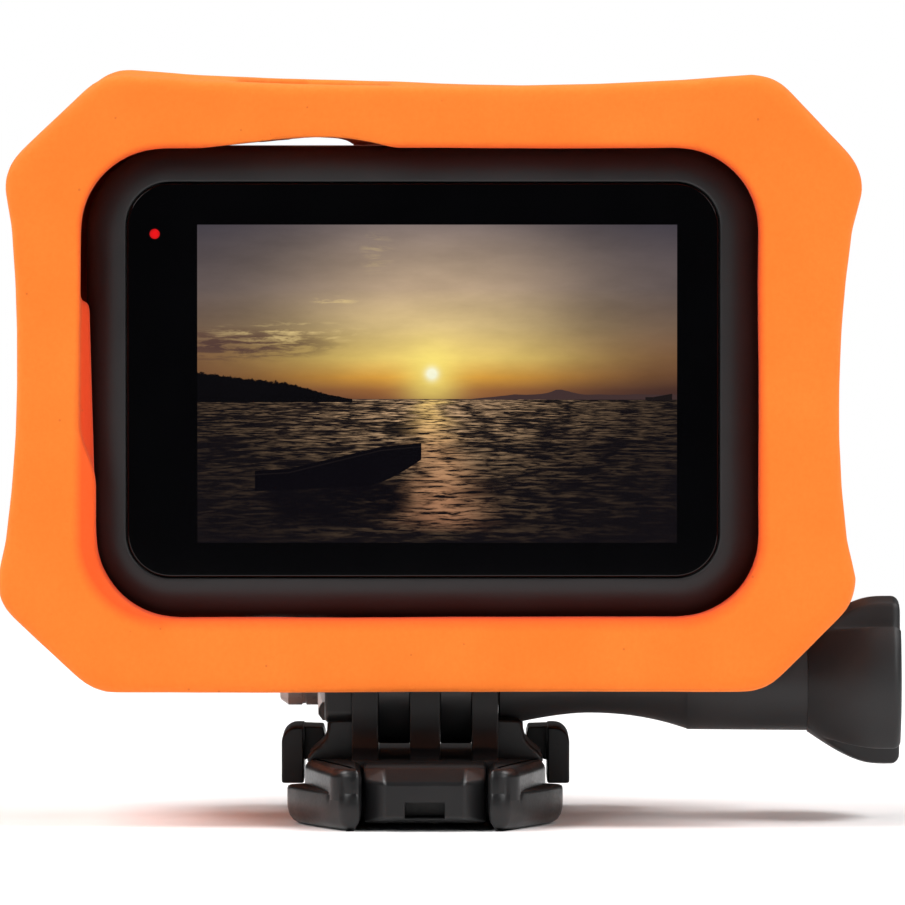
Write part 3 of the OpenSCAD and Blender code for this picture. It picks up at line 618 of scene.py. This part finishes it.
def make_finishes():
    """Every finish, by its name in the record."""
    plastic("case_black", (0.012, 0.0115, 0.0122), (0.016, 0.0155, 0.0164), 0.42, 0.55, 0.16, 0.14,
            Specular_IOR_Level=0.36)
    glass_black_material()
    display_material()
    status_glass_material()
    lamp_material()
    small_screen_material()
    coated_glass_material()
    plastic("button_grey", (0.022, 0.022, 0.023), (0.030, 0.030, 0.031), 0.35, 0.5, 0.12, 0.15)
    metal("switch_metal", (0.5, 0.5, 0.48), (0.62, 0.62, 0.6), 0.25, 0.45)
    plastic("black_metal", (0.010, 0.010, 0.011), (0.014, 0.014, 0.015), 0.30, 0.42, 0.1, 0.12)
    mesh_material()
    plastic("seal_rubber", (0.020, 0.020, 0.022), (0.03, 0.03, 0.032), 0.6, 0.8, 0.3, 0.2)
    metal("steel", (0.34, 0.31, 0.30), (0.48, 0.45, 0.44), 0.26, 0.42)
    board_material()
    metal("spreader", (0.62, 0.62, 0.63), (0.74, 0.74, 0.75), 0.3, 0.5, (8, 1, 1))
    plastic("battery_wrap", (0.008, 0.014, 0.030), (0.012, 0.020, 0.040), 0.22, 0.35, 0.8, 0.06)
    plastic("pull_tab", (0.50, 0.50, 0.48), (0.60, 0.60, 0.58), 0.35, 0.5, 0.5, 0.1)
    plastic("card_black", (0.004, 0.004, 0.004), (0.008, 0.008, 0.008), 0.35, 0.5, 0.1, 0.1)
    plastic("finger_grey", (0.012, 0.012, 0.0125), (0.018, 0.018, 0.0185), 0.36, 0.5, 0.15, 0.16)
    foam_material()
    buckle_material()
    plastic("knob_black", (0.012, 0.0117, 0.0123), (0.017, 0.0166, 0.0173), 0.46, 0.58, 0.2, 0.12,
            Specular_IOR_Level=0.36)
    FINISHES["display"] = FINISHES["display_glass"]


# ---- float jacket

def foam_jacket():
    """The jacket as one skin: the CAD solid remeshed, its edges relaxed, its halves and cut edges uneven."""
    obj = cad_copy("float_jacket", "foam_jacket")
    remesh = obj.modifiers.new("skin", "REMESH")
    remesh.mode = "VOXEL"
    remesh.voxel_size = 0.42 * MM
    relax = obj.modifiers.new("relax", "SMOOTH")
    relax.factor = 0.5
    relax.iterations = 7
    mesh = applied(obj)
    old = obj.data
    obj.data = mesh
    obj.modifiers.clear()
    bpy.data.meshes.remove(old)
    noise.seed_set(FOAM_SEED)
    for vertex in mesh.vertices:
        vertex.co += foam_unevenness(vertex.co)
    shade(mesh, 180)
    install(obj, "camera", "foam_orange", "float_jacket")


def ramp01(value, lo, hi):
    t = min(1.0, max(0.0, (value - lo) / (hi - lo)))
    return t * t * (3 - 2 * t)


def foam_unevenness(p):
    """Small offsets of the foam: soft waves all over, and a front half that stands higher at the top left."""
    wave = noise.noise_vector(p / (14 * MM)) * 0.10 * MM
    grain = noise.noise_vector(p / (3 * MM)) * 0.02 * MM
    front = ramp01(p.y, 0.5 * MM, 3 * MM)
    top = ramp01(p.z, 66 * MM, 71 * MM)
    left = ramp01(-p.x, -12 * MM, 8 * MM) * ramp01(p.x, -38 * MM, -30 * MM)
    lift = Vector((0, 0, 0.5 * MM * front * top * left))
    return wave + grain + lift


# ---- camera case

def rear_housing():
    """Rear shell: straight sides, a broad soft bezel that rolls in to the glass, and the glass's seat."""
    cx, cz = centre(CASE_LO, CASE_HI)
    gx, gz = centre(GLASS_LO, GLASS_HI)
    w, h = CASE_HI.x - CASE_LO.x, CASE_HI.z - CASE_LO.z
    gw, gh = GLASS_HI.x - GLASS_LO.x, GLASS_HI.z - GLASS_LO.z
    outer = round_rect(w, h, CASE_R, cx, cz)
    inner = round_rect(gw + 0.3 * MM, gh + 0.3 * MM, GLASS_R + 0.15 * MM, gx, gz)
    rear, roll = CASE_LO.y, 3.3 * MM

    def between(t, y):
        return ring_y([(a[0] + (b[0] - a[0]) * t, a[1] + (b[1] - a[1]) * t) for a, b in zip(outer, inner)], y)

    rings = [between(0.035, SPLIT_Y), between(0.0, SPLIT_Y - 0.18 * MM)]
    rings += [between(draw * 0.93, rear + roll * drop) for draw, drop in rounding(14)]
    rings += [between(0.985, rear), between(1.0, rear + 0.06 * MM), between(1.0, GLASS_HI.y)]
    cuts = [button_bore("shutter_button", 0.15 * MM, "z"), button_bore("mode_button", 0.15 * MM, "x")]
    obj = combine("rear_shell", [loft(rings)], cuts, sharp_deg=50)
    install(obj, "camera", "case_black", "rear_housing")


def button_bore(node, gap, axis):
    """Cylinder that clears a round button, used to cut its well."""
    lo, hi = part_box(node)
    mid = (lo + hi) / 2
    if axis == "z":
        outline = disc(mid.x, mid.y, (hi.x - lo.x) / 2 + gap)
        return prism(outline, lo.z + 1.2 * MM, hi.z + 2 * MM, "z", bevel=0)
    outline = disc(mid.y, mid.z, (hi.z - lo.z) / 2 + gap)
    return prism(outline, lo.x - 2 * MM, hi.x - 1.2 * MM, "x", bevel=0)


def rounded_plate(name, lo, hi, r, edge, front_y, back_y):
    """Plate with round corners whose front edge is rounded by edge."""
    x, z = centre(lo, hi)
    w, h = hi.x - lo.x, hi.z - lo.z
    side = 1 if front_y > back_y else -1
    rings = [ring_y(round_rect(w, h, r, x, z), back_y)]
    for draw, drop in rounding(5):
        inset = edge * draw
        rings.append(ring_y(round_rect(w - 2 * inset, h - 2 * inset, r - inset, x, z),
                            front_y - side * edge * drop))
    return finish_mesh(name, loft(rings), sharp_deg=50)


def display_glass():
    obj = rounded_plate("touch_glass", GLASS_LO, GLASS_HI, GLASS_R, 0.18 * MM, GLASS_LO.y, GLASS_HI.y)
    install(obj, "camera", "cover_glass", "display_glass", finish="display")


def front_cover():
    """Front shell with a soft edge, wells for the window, lens, lamp and microphone."""
    cx, cz = centre(COVER_LO, COVER_HI)
    w, h = CASE_HI.x - CASE_LO.x, CASE_HI.z - CASE_LO.z
    roll = 2.2 * MM
    rings = [ring_y(round_rect(w, h, CASE_R, cx, cz), SPLIT_Y + 0.18 * MM)]
    rings.insert(0, ring_y(round_rect(w - 0.5 * MM, h - 0.5 * MM, CASE_R - 0.25 * MM, cx, cz), SPLIT_Y))
    for draw, drop in rounding(10):
        inset = roll * draw
        rings.append(ring_y(round_rect(w - 2 * inset, h - 2 * inset, CASE_R - inset, cx, cz),
                            CASE_FRONT - roll * drop))
    window, slot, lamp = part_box("front_window"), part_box("microphone_mesh"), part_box("front_led_lens")
    lens_x, lens_z = centre(RING_LO, RING_HI)
    cuts = [well(window, 0.12 * MM, 2.1 * MM, window[0].y), well(slot, 0.05 * MM, 0.55 * MM, slot[1].y),
            well(lamp, 0.03 * MM, 0.6 * MM, CASE_FRONT - 1.2 * MM),
            prism(disc(lens_x, lens_z, 8.9 * MM, 60), CASE_FRONT - 2 * MM, CASE_FRONT + 2 * MM, "y", bevel=0)]
    obj = combine("front_shell", [loft(rings)], cuts, sharp_deg=40)
    install(obj, "camera", "case_black", "front_cover")


def well(box, gap, r, floor_y):
    """Round-cornered cutter over a piece that is let into the front."""
    lo, hi = box
    x, z = centre(lo, hi)
    outline = round_rect(hi.x - lo.x + 2 * gap, hi.z - lo.z + 2 * gap, r, x, z, steps=6)
    return prism(outline, floor_y, CASE_FRONT + 3 * MM, "y", bevel=0)


def front_window():
    lo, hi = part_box("front_window")
    obj = rounded_plate("status_window", lo, hi, 2 * MM, 0.2 * MM, hi.y, lo.y)
    install(obj, "camera", "cover_glass", "front_window", finish="status_glass")


def lathe(name, profile, axis, at, count=64, sharp_deg=35, loop=False):
    """Turned piece: (distance, radius) pairs in metres, spun about the axis through at."""
    place = AXES[axis]
    a0, b0, t0 = {"x": (at.y, at.z, at.x), "y": (at.x, at.z, at.y), "z": (at.x, at.y, at.z)}[axis]
    turn = [2 * math.pi * i / count for i in range(count)]
    rings = [[place(a0 + r * math.cos(a), b0 + r * math.sin(a), t0 + t) for a in turn] for t, r in profile]
    return finish_mesh(name, loft(rings, loop=loop), sharp_deg)


def rounded_profile(t0, t1, r, edge):
    """Side view of a disc whose edge at t1 is rounded."""
    side = 1 if t1 > t0 else -1
    return [(t1 - side * edge * drop, r - edge * draw) for draw, drop in rounding(5)]


def shutter_button():
    """Round cap with a raised rim and a dished middle, on a short stem."""
    lo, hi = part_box("shutter_button")
    at = Vector(((lo.x + hi.x) / 2, (lo.y + hi.y) / 2, hi.z))
    r = (hi.x - lo.x) / 2
    profile = mm([(-3.0, 0.9), (-3.0, 1.4), (-1.5, 1.4)]) + [(-1.5 * MM, r)]
    profile += rounded_profile(-1.3 * MM, 0, r, 0.35 * MM)
    profile += [(t * MM, r - inset * MM) for t, inset in
                ((0, 0.9), (-0.1, 1.05), (-0.25, 1.25), (-0.25, 1.5), (-0.12, 1.7))]
    profile += mm([(-0.3, 1.5), (-0.36, 0.2)])
    obj = lathe("shutter_cap", profile, "z", at)
    install(obj, "shutter", "button_grey", "shutter_button")


def mode_button():
    """Side button: a low dome with a ring pressed into it."""
    lo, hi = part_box("mode_button")
    at = Vector((lo.x, (lo.y + hi.y) / 2, (lo.z + hi.z) / 2))
    r = (hi.z - lo.z) / 2
    profile = mm([(3.1, 0.8), (3.1, 1.2), (1.8, 1.2)]) + [(1.8 * MM, r)]
    profile += rounded_profile(1.5 * MM, 0.12 * MM, r, 0.4 * MM)
    profile += [(t * MM, r - inset * MM) for t, inset in ((0.04, 0.9), (0.2, 1.05), (0.2, 1.35), (0.02, 1.5))]
    profile += mm([(0, 0.9), (0, 0.2)])
    obj = lathe("mode_cap", profile, "x", at)
    install(obj, "mode", "button_grey", "mode_button")


# ---- lens

def lens_ring():
    """Square bezel with a bevelled lip outside and a round bore inside."""
    x, z = centre(RING_LO, RING_HI)
    w, back, front = RING_HI.x - RING_LO.x, RING_LO.y, RING_HI.y

    def square(width, r):
        return round_rect(width, width, r, x, z)

    rings = [(square(w, 6 * MM), back), (square(w, 6 * MM), front - 1.3 * MM)]
    for draw, drop in rounding(6)[1:]:
        inset = 0.75 * MM * draw
        rings.append((square(w - 2 * inset, 6 * MM - inset), front - 0.55 * MM * drop - 0.02 * MM))
    lip, bore = square(19.3 * MM, 4.6 * MM), square(17.7 * MM, 8.8 * MM)
    rings += [(square(20.2 * MM, 5 * MM), front), (lip, front - 0.45 * MM), (lip, front - 1.4 * MM),
              (bore, front - 1.4 * MM), (bore, back)]
    obj = finish_mesh("lens_bezel", loft([ring_y(o, y) for o, y in rings], loop=True), sharp_deg=35)
    install(obj, "camera", "black_metal", "lens_ring")


def lens_cover():
    lo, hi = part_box("lens_cover_glass")
    obj = rounded_plate("lens_cover", lo, hi, 4.45 * MM, 0.25 * MM, hi.y, lo.y)
    install(obj, "camera", "lens_glass", "lens_cover_glass")


def lens_barrel():
    """Barrel with stepped light baffles in front of the glass."""
    lo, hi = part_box("lens_barrel")
    x, z = centre(lo, hi)
    outer = [(-2.4, 4.0), (-2.4, 6.5), (5.4, 6.5), (5.4, 7.8), (5.6, 8.0), (14.0, 8.0), (14.2, 7.8)]
    steps = [(14.2 - 0.35 * i, 7.75 - 0.12 * i) for i in range(1, 7)]
    baffle = [pair for t, r in steps for pair in ((t + 0.28, r), (t, r))]
    inner = [(11.6, 6.9), (8.2, 6.9), (8.2, 4.0)]
    obj = lathe("barrel", mm(outer + baffle + inner), "y", Vector((x, 0, z)), count=72, loop=True)
    install(obj, "camera", "black_metal", "lens_barrel")


def front_element():
    """Domed outer lens with a ground edge."""
    lo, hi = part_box("lens_front_element")
    x, z = centre(lo, hi)
    r, rise, back = 6.8 * MM, hi.y - (lo.y + 3 * MM), lo.y
    ball = (r * r + rise * rise) / (2 * rise)
    top = math.asin(r / ball)
    profile = [(back, 0.3 * MM), (back, r - 0.2 * MM), (back + 0.2 * MM, r), (hi.y - rise, r)]
    profile += [(hi.y - ball + ball * math.cos(a), ball * math.sin(a))
                for a in [top * (1 - i / 16) for i in range(1, 16)]]
    obj = lathe("dome_lens", profile, "y", Vector((x, 0, z)))
    install(obj, "camera", "lens_glass", "lens_front_element")


# ---- hinge fingers

def drill(r, x0, x1):
    """Round cutter along the hinge axis: its radius in millimetres, its ends in metres."""
    return prism(mm(disc(0, AXIS, r)), x0, x1, "x", bevel=0)


def finger(node, sign):
    """Flat ear with a round tip, a bolt hole and the knuckle of its fold pin."""
    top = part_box(node)[1].z / MM
    heel = [(EAR_R, 20.1), (4.5, 20.2), (4.5, top), (-4.5, top), (-4.5, 20.2), (-EAR_R, 20.1)]
    x0, x1 = sorted((sign * 1.51, sign * 4.59))
    ear = block(arc(0, AXIS, EAR_R, 180, 360, 28) + heel, x0, x1, "x", bevel=0.1, segments=2)
    k0, k1 = sorted((sign * 4.4, sign * 6.4))
    knuckle = block(disc(sign * 6.4, 21.7, 1.2, 24), -4.5, 4.5, "y", bevel=0.15, sharp_deg=60)
    link = block(box_outline(-4.5, 20.6, 4.5, 22.8), k0, k1, "x", bevel=0.15)
    obj = combine(f"{node}_ear", [ear, knuckle, link], [drill(HOLE_R, x0 * MM - MM, x1 * MM + MM)])
    install(obj, "camera", "finger_grey", node)


# ---- quick-release buckle

def rounded_outline(points, r, steps=5):
    """Closed outline (mm) with every corner eased by a short curve."""
    out = []
    count = len(points)
    for i, (a, b) in enumerate(points):
        here = Vector((a, b))
        before, after = Vector(points[i - 1]) - here, Vector(points[(i + 1) % count]) - here
        reach = min(r, before.length * 0.45, after.length * 0.45)
        p, q = here + before.normalized() * reach, here + after.normalized() * reach
        for k in range(steps + 1):
            t = k / steps
            out.append(tuple(p * (1 - t) ** 2 + here * (2 * t * (1 - t)) + q * t * t))
    return out


def moulded(outline, levels):
    """Block of an outline, its sides drawn in at each height: (height, inset) pairs, all in mm."""
    count = len(outline)
    area = sum(outline[i - 1][0] * outline[i][1] - outline[i][0] * outline[i - 1][1] for i in range(count))
    side = 1 if area > 0 else -1
    rings = []
    for z, inset in levels:
        ring = []
        for i in range(count):
            a, b, c = Vector(outline[i - 1]), Vector(outline[i]), Vector(outline[(i + 1) % count])
            along = ((b - a).normalized() + (c - b).normalized()).normalized()
            x, y = b.x - side * along.y * inset, b.y + side * along.x * inset
            ring.append(Vector((x * MM, y * MM, z * MM)))
        rings.append(ring)
    return loft(rings)


RAIL = [(6.15, -20.3), (8.0, -20.1), (9.6, -17.6), (11.2, -14.2), (12.5, -11.2), (13.5, -8.3), (13.6, -6.8),
        (11.5, -4.6), (8.0, -4.6), (6.15, -5.5)]
LOBE = [(6.15, -20.1), (7.9, -20.0), (9.1, -18.8), (10.6, -12.5), (11.8, -6.4), (11.9, -4.6), (8.0, -4.6),
        (6.15, -5.5)]
SHOULDER = [(6.6, 5.7), (11.7, 5.7), (11.6, 6.3), (11.1, 6.95), (10.4, 7.5), (9.9, 8.1), (9.7, 8.8),
            (9.65, 9.7), (9.2, 10.1), (6.6, 10.2)]
SPINE = [(-8.2, -6.5), (8.2, -6.5), (8.2, 18.8), (6.8, 20), (-6.8, 20), (-8.2, 18.8)]
ARM = [(9.3, PIVOT_Y), (11.3, PIVOT_Y), (11.5, 6), (11.5, 10), (10.9, 20), (9.8, 20)]
ARM_WEB = [(10.0, 5.4), (11.2, 5.2), (12.3, 4.9), (12.9, 4.4), (13.2, 4.4), (13.2, 8.35), (10.3, 8.25),
           (10.1, 7.6)]


def both(shape):
    """Builds a shape for each side: shape takes a function that mirrors an outline, and a sign."""
    return [shape(lambda outline: outline, 1), shape(mirrored, -1)]


def hexagon(r):
    """Outline of a nut round the hinge axis, r from its middle to its corners."""
    return [(r * math.sin(a), AXIS + r * math.cos(a)) for a in [math.radians(60 * i) for i in range(6)]]


def hinge_prong(x0, x1):
    """Ear of the hinge: a round head on sides that sweep out into the deck."""
    foot = [(6.3, 11.2), (6.35, 9.4), (6.6, 8.2), (7.1, 7.3), (7.9, 6.7), (9.0, 6.3), (9.2, 5.4)]
    outline = mirrored(foot) + arc(0, AXIS, EAR_R, 180, 0, 30) + foot
    return block(outline, x0, x1, "x", bevel=0.16)


def centre_block():
    """Nose of the buckle: a flat end panel with clipped corners round it."""
    bm = bmesh.new()
    corners = [(3.9, -20.5, 1.3), (3.9, -20.5, 4.75), (5.95, -18.5, 0.8), (5.95, -18.5, 4.9),
               (4.0, -18.9, DECK), (5.95, -17.0, 6.1), (5.95, -5, DECK), (5.95, -5, 0.2), (5.95, -12, 0.2),
               (5.8, -13, 0.8)]
    for x, y, z in corners:
        for side in (1, -1):
            bm.verts.new((side * x * MM, y * MM, z * MM))
    hull = bmesh.ops.convex_hull(bm, input=bm.verts)
    buried = [v for v in hull["geom_interior"] if isinstance(v, bmesh.types.BMVert)]
    bmesh.ops.delete(bm, geom=buried, context="VERTS")
    bmesh.ops.dissolve_limit(bm, angle_limit=math.radians(2), verts=bm.verts, edges=bm.edges)
    soften(bm, list(bm.edges), 0.28 * MM)
    return bm


def buckle_base():
    """Base: spine, flared rails, deck lobes, nose, hinge ears, shoulders and nut boss in one moulding."""
    spine = moulded(rounded_outline(SPINE, 0.8),
                    [(0, 0.3), (0.3, 0.05), (0.6, 0), (5.7, 0), (6.05, 0.15), (DECK, 0.5)])
    rails = both(lambda flip, s: moulded(flip(rounded_outline(RAIL, 0.9)), [
        (0, 1.5), (0.12, 1.0), (0.4, 0.55), (0.9, 0.2), (1.6, 0.03), (2.3, 0), (3.45, 0), (3.7, 0.1),
        (3.8, 0.35)]))
    lobes = both(lambda flip, s: moulded(flip(rounded_outline(LOBE, 0.9)), [
        (3.0, 0), (5.2, 0), (5.6, 0.1), (5.95, 0.35), (6.15, 0.75), (DECK, 1.2)]))
    shoulders = both(lambda flip, s: block(flip(SHOULDER), -4.6, 4.6, "y", bevel=0.5, sharp_deg=60))
    prongs = [hinge_prong(-1.5, 1.5), hinge_prong(4.6, 7.2), hinge_prong(-7.2, -4.6)]
    boss = block(rounded_outline(box_outline(-5.2, 9.7, 5.2, 18.3), 1.2), -9.9, -6.9, "x", bevel=0.4)
    bores = [drill(HOLE_R, -11 * MM, 9 * MM), drill(4.85, 7.35 * MM, 12.2 * MM)]
    nut_seat = block(hexagon(4.08), -10.9, -6.75, "x", bevel=0)
    pocket = block(box_outline(-1.95, 1.3, 1.95, 2.9), -21.5, -16.5, "y", bevel=0)
    relief = block(rounded_outline(box_outline(-5, 3, 5, 15.5), 1), -1, 1.8, "z", bevel=0)
    sockets = both(lambda flip, s: block(disc(s * PIVOT_X, PIVOT_Y, 1.78), -1, 6.5, "z", bevel=0))
    undercut = both(lambda flip, s: block(flip(box_outline(8.25, -1, 14, 8)), 1, 6.5, "z", bevel=0))
    obj = combine("buckle_body", [spine, *rails, *lobes, *shoulders, *prongs, centre_block(), boss],
                  [*bores, nut_seat, pocket, relief, *sockets, *undercut], sharp_deg=32)
    install(obj, "buckle", "buckle_black", "buckle_base")


def squeeze_arm(node, flip, s):
    """Springy arm from its knuckle to the finger tab behind the deck."""
    knuckle = block(disc(s * PIVOT_X, PIVOT_Y, 1.7), 0.4, DECK, "z", bevel=0.2, sharp_deg=60)
    strip = moulded(flip(rounded_outline(ARM, 0.5)),
                    [(0.4, 0.3), (0.7, 0.05), (1.0, 0), (5.7, 0), (6.0, 0.1), (DECK, 0.35)])
    web = block(flip(ARM_WEB), 12.6, 20, "y")
    pad_shape = [(12.15, 8.4), (12.15, 2.8), (14.4, 2.8)] + arc(12.9, 6.9, 1.5, 0, 90, 10)
    pad = block(flip(rounded_outline(pad_shape, 0.3)), 9.5, 20.5, "y", bevel=0.35)
    obj = combine(f"{node}_tab", [knuckle, strip, web, pad], sharp_deg=32)
    install(obj, f"arm_{node.split('_')[0]}", "buckle_black", node)


def lock_nut():
    """Hexagonal nut, 7 mm across its flats, with chamfered corners."""
    lo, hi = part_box("lock_nut")
    body = prism(mm(hexagon(3.5 / math.cos(math.pi / 6))), lo.x, hi.x, "x", bevel=0.06 * MM, segments=2)
    ends = ((lo.x - 0.1 * MM, 3.3 * MM), (lo.x + 0.5 * MM, 4.1 * MM), (hi.x + 0.1 * MM, 4.1 * MM))
    turn = [2 * math.pi * i / 48 for i in range(48)]
    cone = loft([[Vector((x, r * math.cos(a), AXIS_Z + r * math.sin(a))) for a in turn] for x, r in ends])
    hole = drill(HOLE_R, lo.x - MM, hi.x + MM)
    obj = combine("hex_nut", [body, cone], [hole], join="INTERSECT", sharp_deg=25)
    install(obj, "buckle", "steel", "lock_nut")


# ---- thumb screw

# Distances along the screw and radii, in millimetres, and angles in degrees
STEM_X0, WAIST_X, STEP_X, COLLAR_X = 7.25, 16.0, 25.8, 37.8
WAIST_R, COLLAR_R, KNOB_R = 3.27, 5.0, 8.4
FLARE, END_ROUND, NOTCH = 7.6, 0.8, 2.0
HALF_NOTCH, KNOB_TURN = 13, 5


def stem_radius(x):
    """Radius of the stem, from its end face to the collar."""
    if x < WAIST_X:
        return WAIST_R + 1.4 * ((WAIST_X - x) / (WAIST_X - STEM_X0)) ** 1.6
    if x < STEP_X:
        return WAIST_R + 1.55 * ((x - WAIST_X) / (STEP_X - WAIST_X)) ** 2.2
    return 4.9 + 0.1 * (x - STEP_X) / (COLLAR_X - STEP_X)


def lobe_radius(deg):
    """Three broad lobes with V-shaped notches between them."""
    turn = abs((deg + KNOB_TURN) % 120 - 60)
    return KNOB_R - NOTCH * max(0.0, 1 - (turn / HALF_NOTCH) ** 1.6)


def flare_radius(along):
    """Radius of the head under the lobes, at a distance from the collar."""
    root = COLLAR_R + 0.12
    return root + (KNOB_R - root) * math.sin(min(math.pi / 2, math.pi / 2 * along / FLARE))


def soft_min(a, b, width):
    """Smaller of two lengths, blended where they meet."""
    h = max(0.0, width - abs(a - b)) / width
    return min(a, b) - h * h * width / 4


def thumb_knob():
    """Stem, collar and lobed head in one skin, from (distance, radius, lobed) stations."""
    count = 240
    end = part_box("screw_knob")[1].x / MM
    rim = end - END_ROUND
    stations = [(STEM_X0, HOLE_R, 0), (STEM_X0, 4.5, 0), (STEM_X0 + 0.15, 4.64, 0)]
    stations += [(x, stem_radius(x), 0) for x in [8 + i * 0.89 for i in range(20)]]
    stations += [(STEP_X, stem_radius(STEP_X - 0.01), 0), (STEP_X + 0.15, stem_radius(STEP_X + 0.15), 0)]
    stations += [(x, stem_radius(x), 0) for x in (29, 33, COLLAR_X - 0.3, COLLAR_X - 0.02)]
    stations += [(COLLAR_X + along, flare_radius(along), 1)
                 for along in [(rim - COLLAR_X) * i / 18 for i in range(19)]]
    stations += [(rim + END_ROUND * math.sin(a), KNOB_R - 0.9 * (1 - math.cos(a)), 1)
                 for a in [math.radians(90 * i / 8) for i in range(1, 9)]]
    dish = ((0, 5.1), (0.12, 4.8), (0.6, 4.5), (0.7, 3.6), (0.7, 0.4))
    stations += [(end - sunk, r, 0) for sunk, r in dish]
    rings = []
    for x, r, lobed in stations:
        ring = []
        for i in range(count):
            deg = 360 * i / count
            lobe = lobe_radius(deg) - (KNOB_R - r if x > rim else 0)
            radius = soft_min(r, lobe, 0.35) if lobed else r
            a = math.radians(deg)
            ring.append(Vector((x * MM, -radius * math.cos(a) * MM, AXIS_Z + radius * math.sin(a) * MM)))
        rings.append(ring)
    obj = finish_mesh("thumb_knob", loft(rings), sharp_deg=42)
    install(obj, "thumb_screw", "knob_black", "screw_knob")


def bolt():
    """Plain bolt whose free end is turned down and chamfered."""
    lo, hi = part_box("screw_bolt")
    r, x0, x1 = 2.48, lo.x / MM, hi.x / MM
    profile = [(x0, 0.3), (x0, 1.7), (x0 + 0.12, 1.95), (x0 + 0.7, r - 0.12), (x0 + 0.85, r), (x0 + 2.2, r),
               (x0 + 2.3, r - 0.14), (x0 + 2.55, r - 0.14), (x0 + 2.65, r), (x1, r)]
    obj = lathe("bolt_shank", mm(profile), "x", Vector((0, 0, AXIS_Z)), sharp_deg=25)
    install(obj, "thumb_screw", "steel", "screw_bolt")


# ---- stage and camera

def stage():
    """Pale floor under soft, even light; the camera sees white behind it."""
    bm = bmesh.new()
    bmesh.ops.create_circle(bm, cap_ends=True, segments=96, radius=0.45)
    floor = finish_mesh("floor", bm)
    n = Nodes("floor_paper", Roughness=0.9)
    n.feed("Base Color", n.mix(n.noise(0.08, detail=3), (0.93, 0.93, 0.93), (0.95, 0.95, 0.95)))
    floor.data.materials.append(n.material)

    world = bpy.data.worlds.new("studio")
    bpy.context.scene.world = world
    world.use_nodes = True
    tree = world.node_tree
    dim = tree.nodes["Background"]
    path, mix, white = [tree.nodes.new(f"ShaderNode{kind}")
                        for kind in ("LightPath", "MixShader", "Background")]
    for background, strength in ((dim, 0.04), (white, 1.0)):
        background.inputs["Color"].default_value = (1.0, 1.0, 1.0, 1.0)
        background.inputs["Strength"].default_value = strength
    tree.links.new(path.outputs["Is Camera Ray"], mix.inputs["Fac"])
    tree.links.new(dim.outputs[0], mix.inputs[1])
    tree.links.new(white.outputs[0], mix.inputs[2])
    tree.links.new(mix.outputs[0], tree.nodes["World Output"].inputs["Surface"])

    soft_light("key", (-0.62, -0.70, 0.55), 0.45, 4.1)
    soft_light("fill", (0.66, -0.68, 0.45), 0.45, 3.5)
    soft_light("overhead", (0.0, 0.42, 0.85), 0.4, 0.9)
    soft_light("top_left", (-0.55, -0.15, 0.80), 0.4, 5.6)
    soft_light("top_right", (0.55, -0.15, 0.80), 0.4, 5.6)
    soft_light("rear_left", (-0.74, 0.40, 0.66), 0.4, 3.4)
    soft_light("rear_right", (0.74, 0.40, 0.66), 0.4, 1.8)


def soft_light(name, place, size, watts):
    """Square soft box aimed at the middle of the object."""
    light = bpy.data.lights.new(name, "AREA")
    light.size = size
    light.energy = watts
    aim(add_object(name, light), place, (0, 0, 0.04))


def aim(obj, place, target):
    """Puts a light or the camera in its place and turns it to its target."""
    obj.location = place
    obj.rotation_euler = (Vector(target) - Vector(place)).to_track_quat("-Z", "Y").to_euler()


def camera():
    """Long lens a metre away, just above the top of the case and tipped down a little."""
    data = bpy.data.cameras.new("view")
    data.sensor_width = 36
    data.lens = 402
    data.clip_start, data.clip_end = 0.05, 20
    obj = bpy.context.scene.camera = add_object("view", data)
    aim(obj, (0.0027, -1.0, 0.06924), (0.0027, 0.0, 0.03622))


# ---- build

def paint_cad_nodes():
    """Gives each CAD node the finish that the record names for it, smooth where it curves."""
    slots = {s["node"]: s["material_slot"] for s in frame["record"]["subparts"]}
    for name, obj in frame["nodes"].items():
        obj.data.materials.clear()
        obj.data.materials.append(FINISHES[slots[name]])
        shade(obj.data, 30)


def build():
    bpy.context.scene.view_settings.view_transform = "Standard"
    camera()
    stage()
    make_finishes()
    paint_cad_nodes()
    for piece in (foam_jacket, rear_housing, front_cover, display_glass, front_window, shutter_button,
                  mode_button, lens_ring, lens_cover, lens_barrel, front_element):
        piece()
    finger("finger_right", 1)
    finger("finger_left", -1)
    buckle_base()
    squeeze_arm("right_arm", lambda outline: outline, 1)
    squeeze_arm("left_arm", mirrored, -1)
    lock_nut()
    thumb_knob()
    bolt()


build()
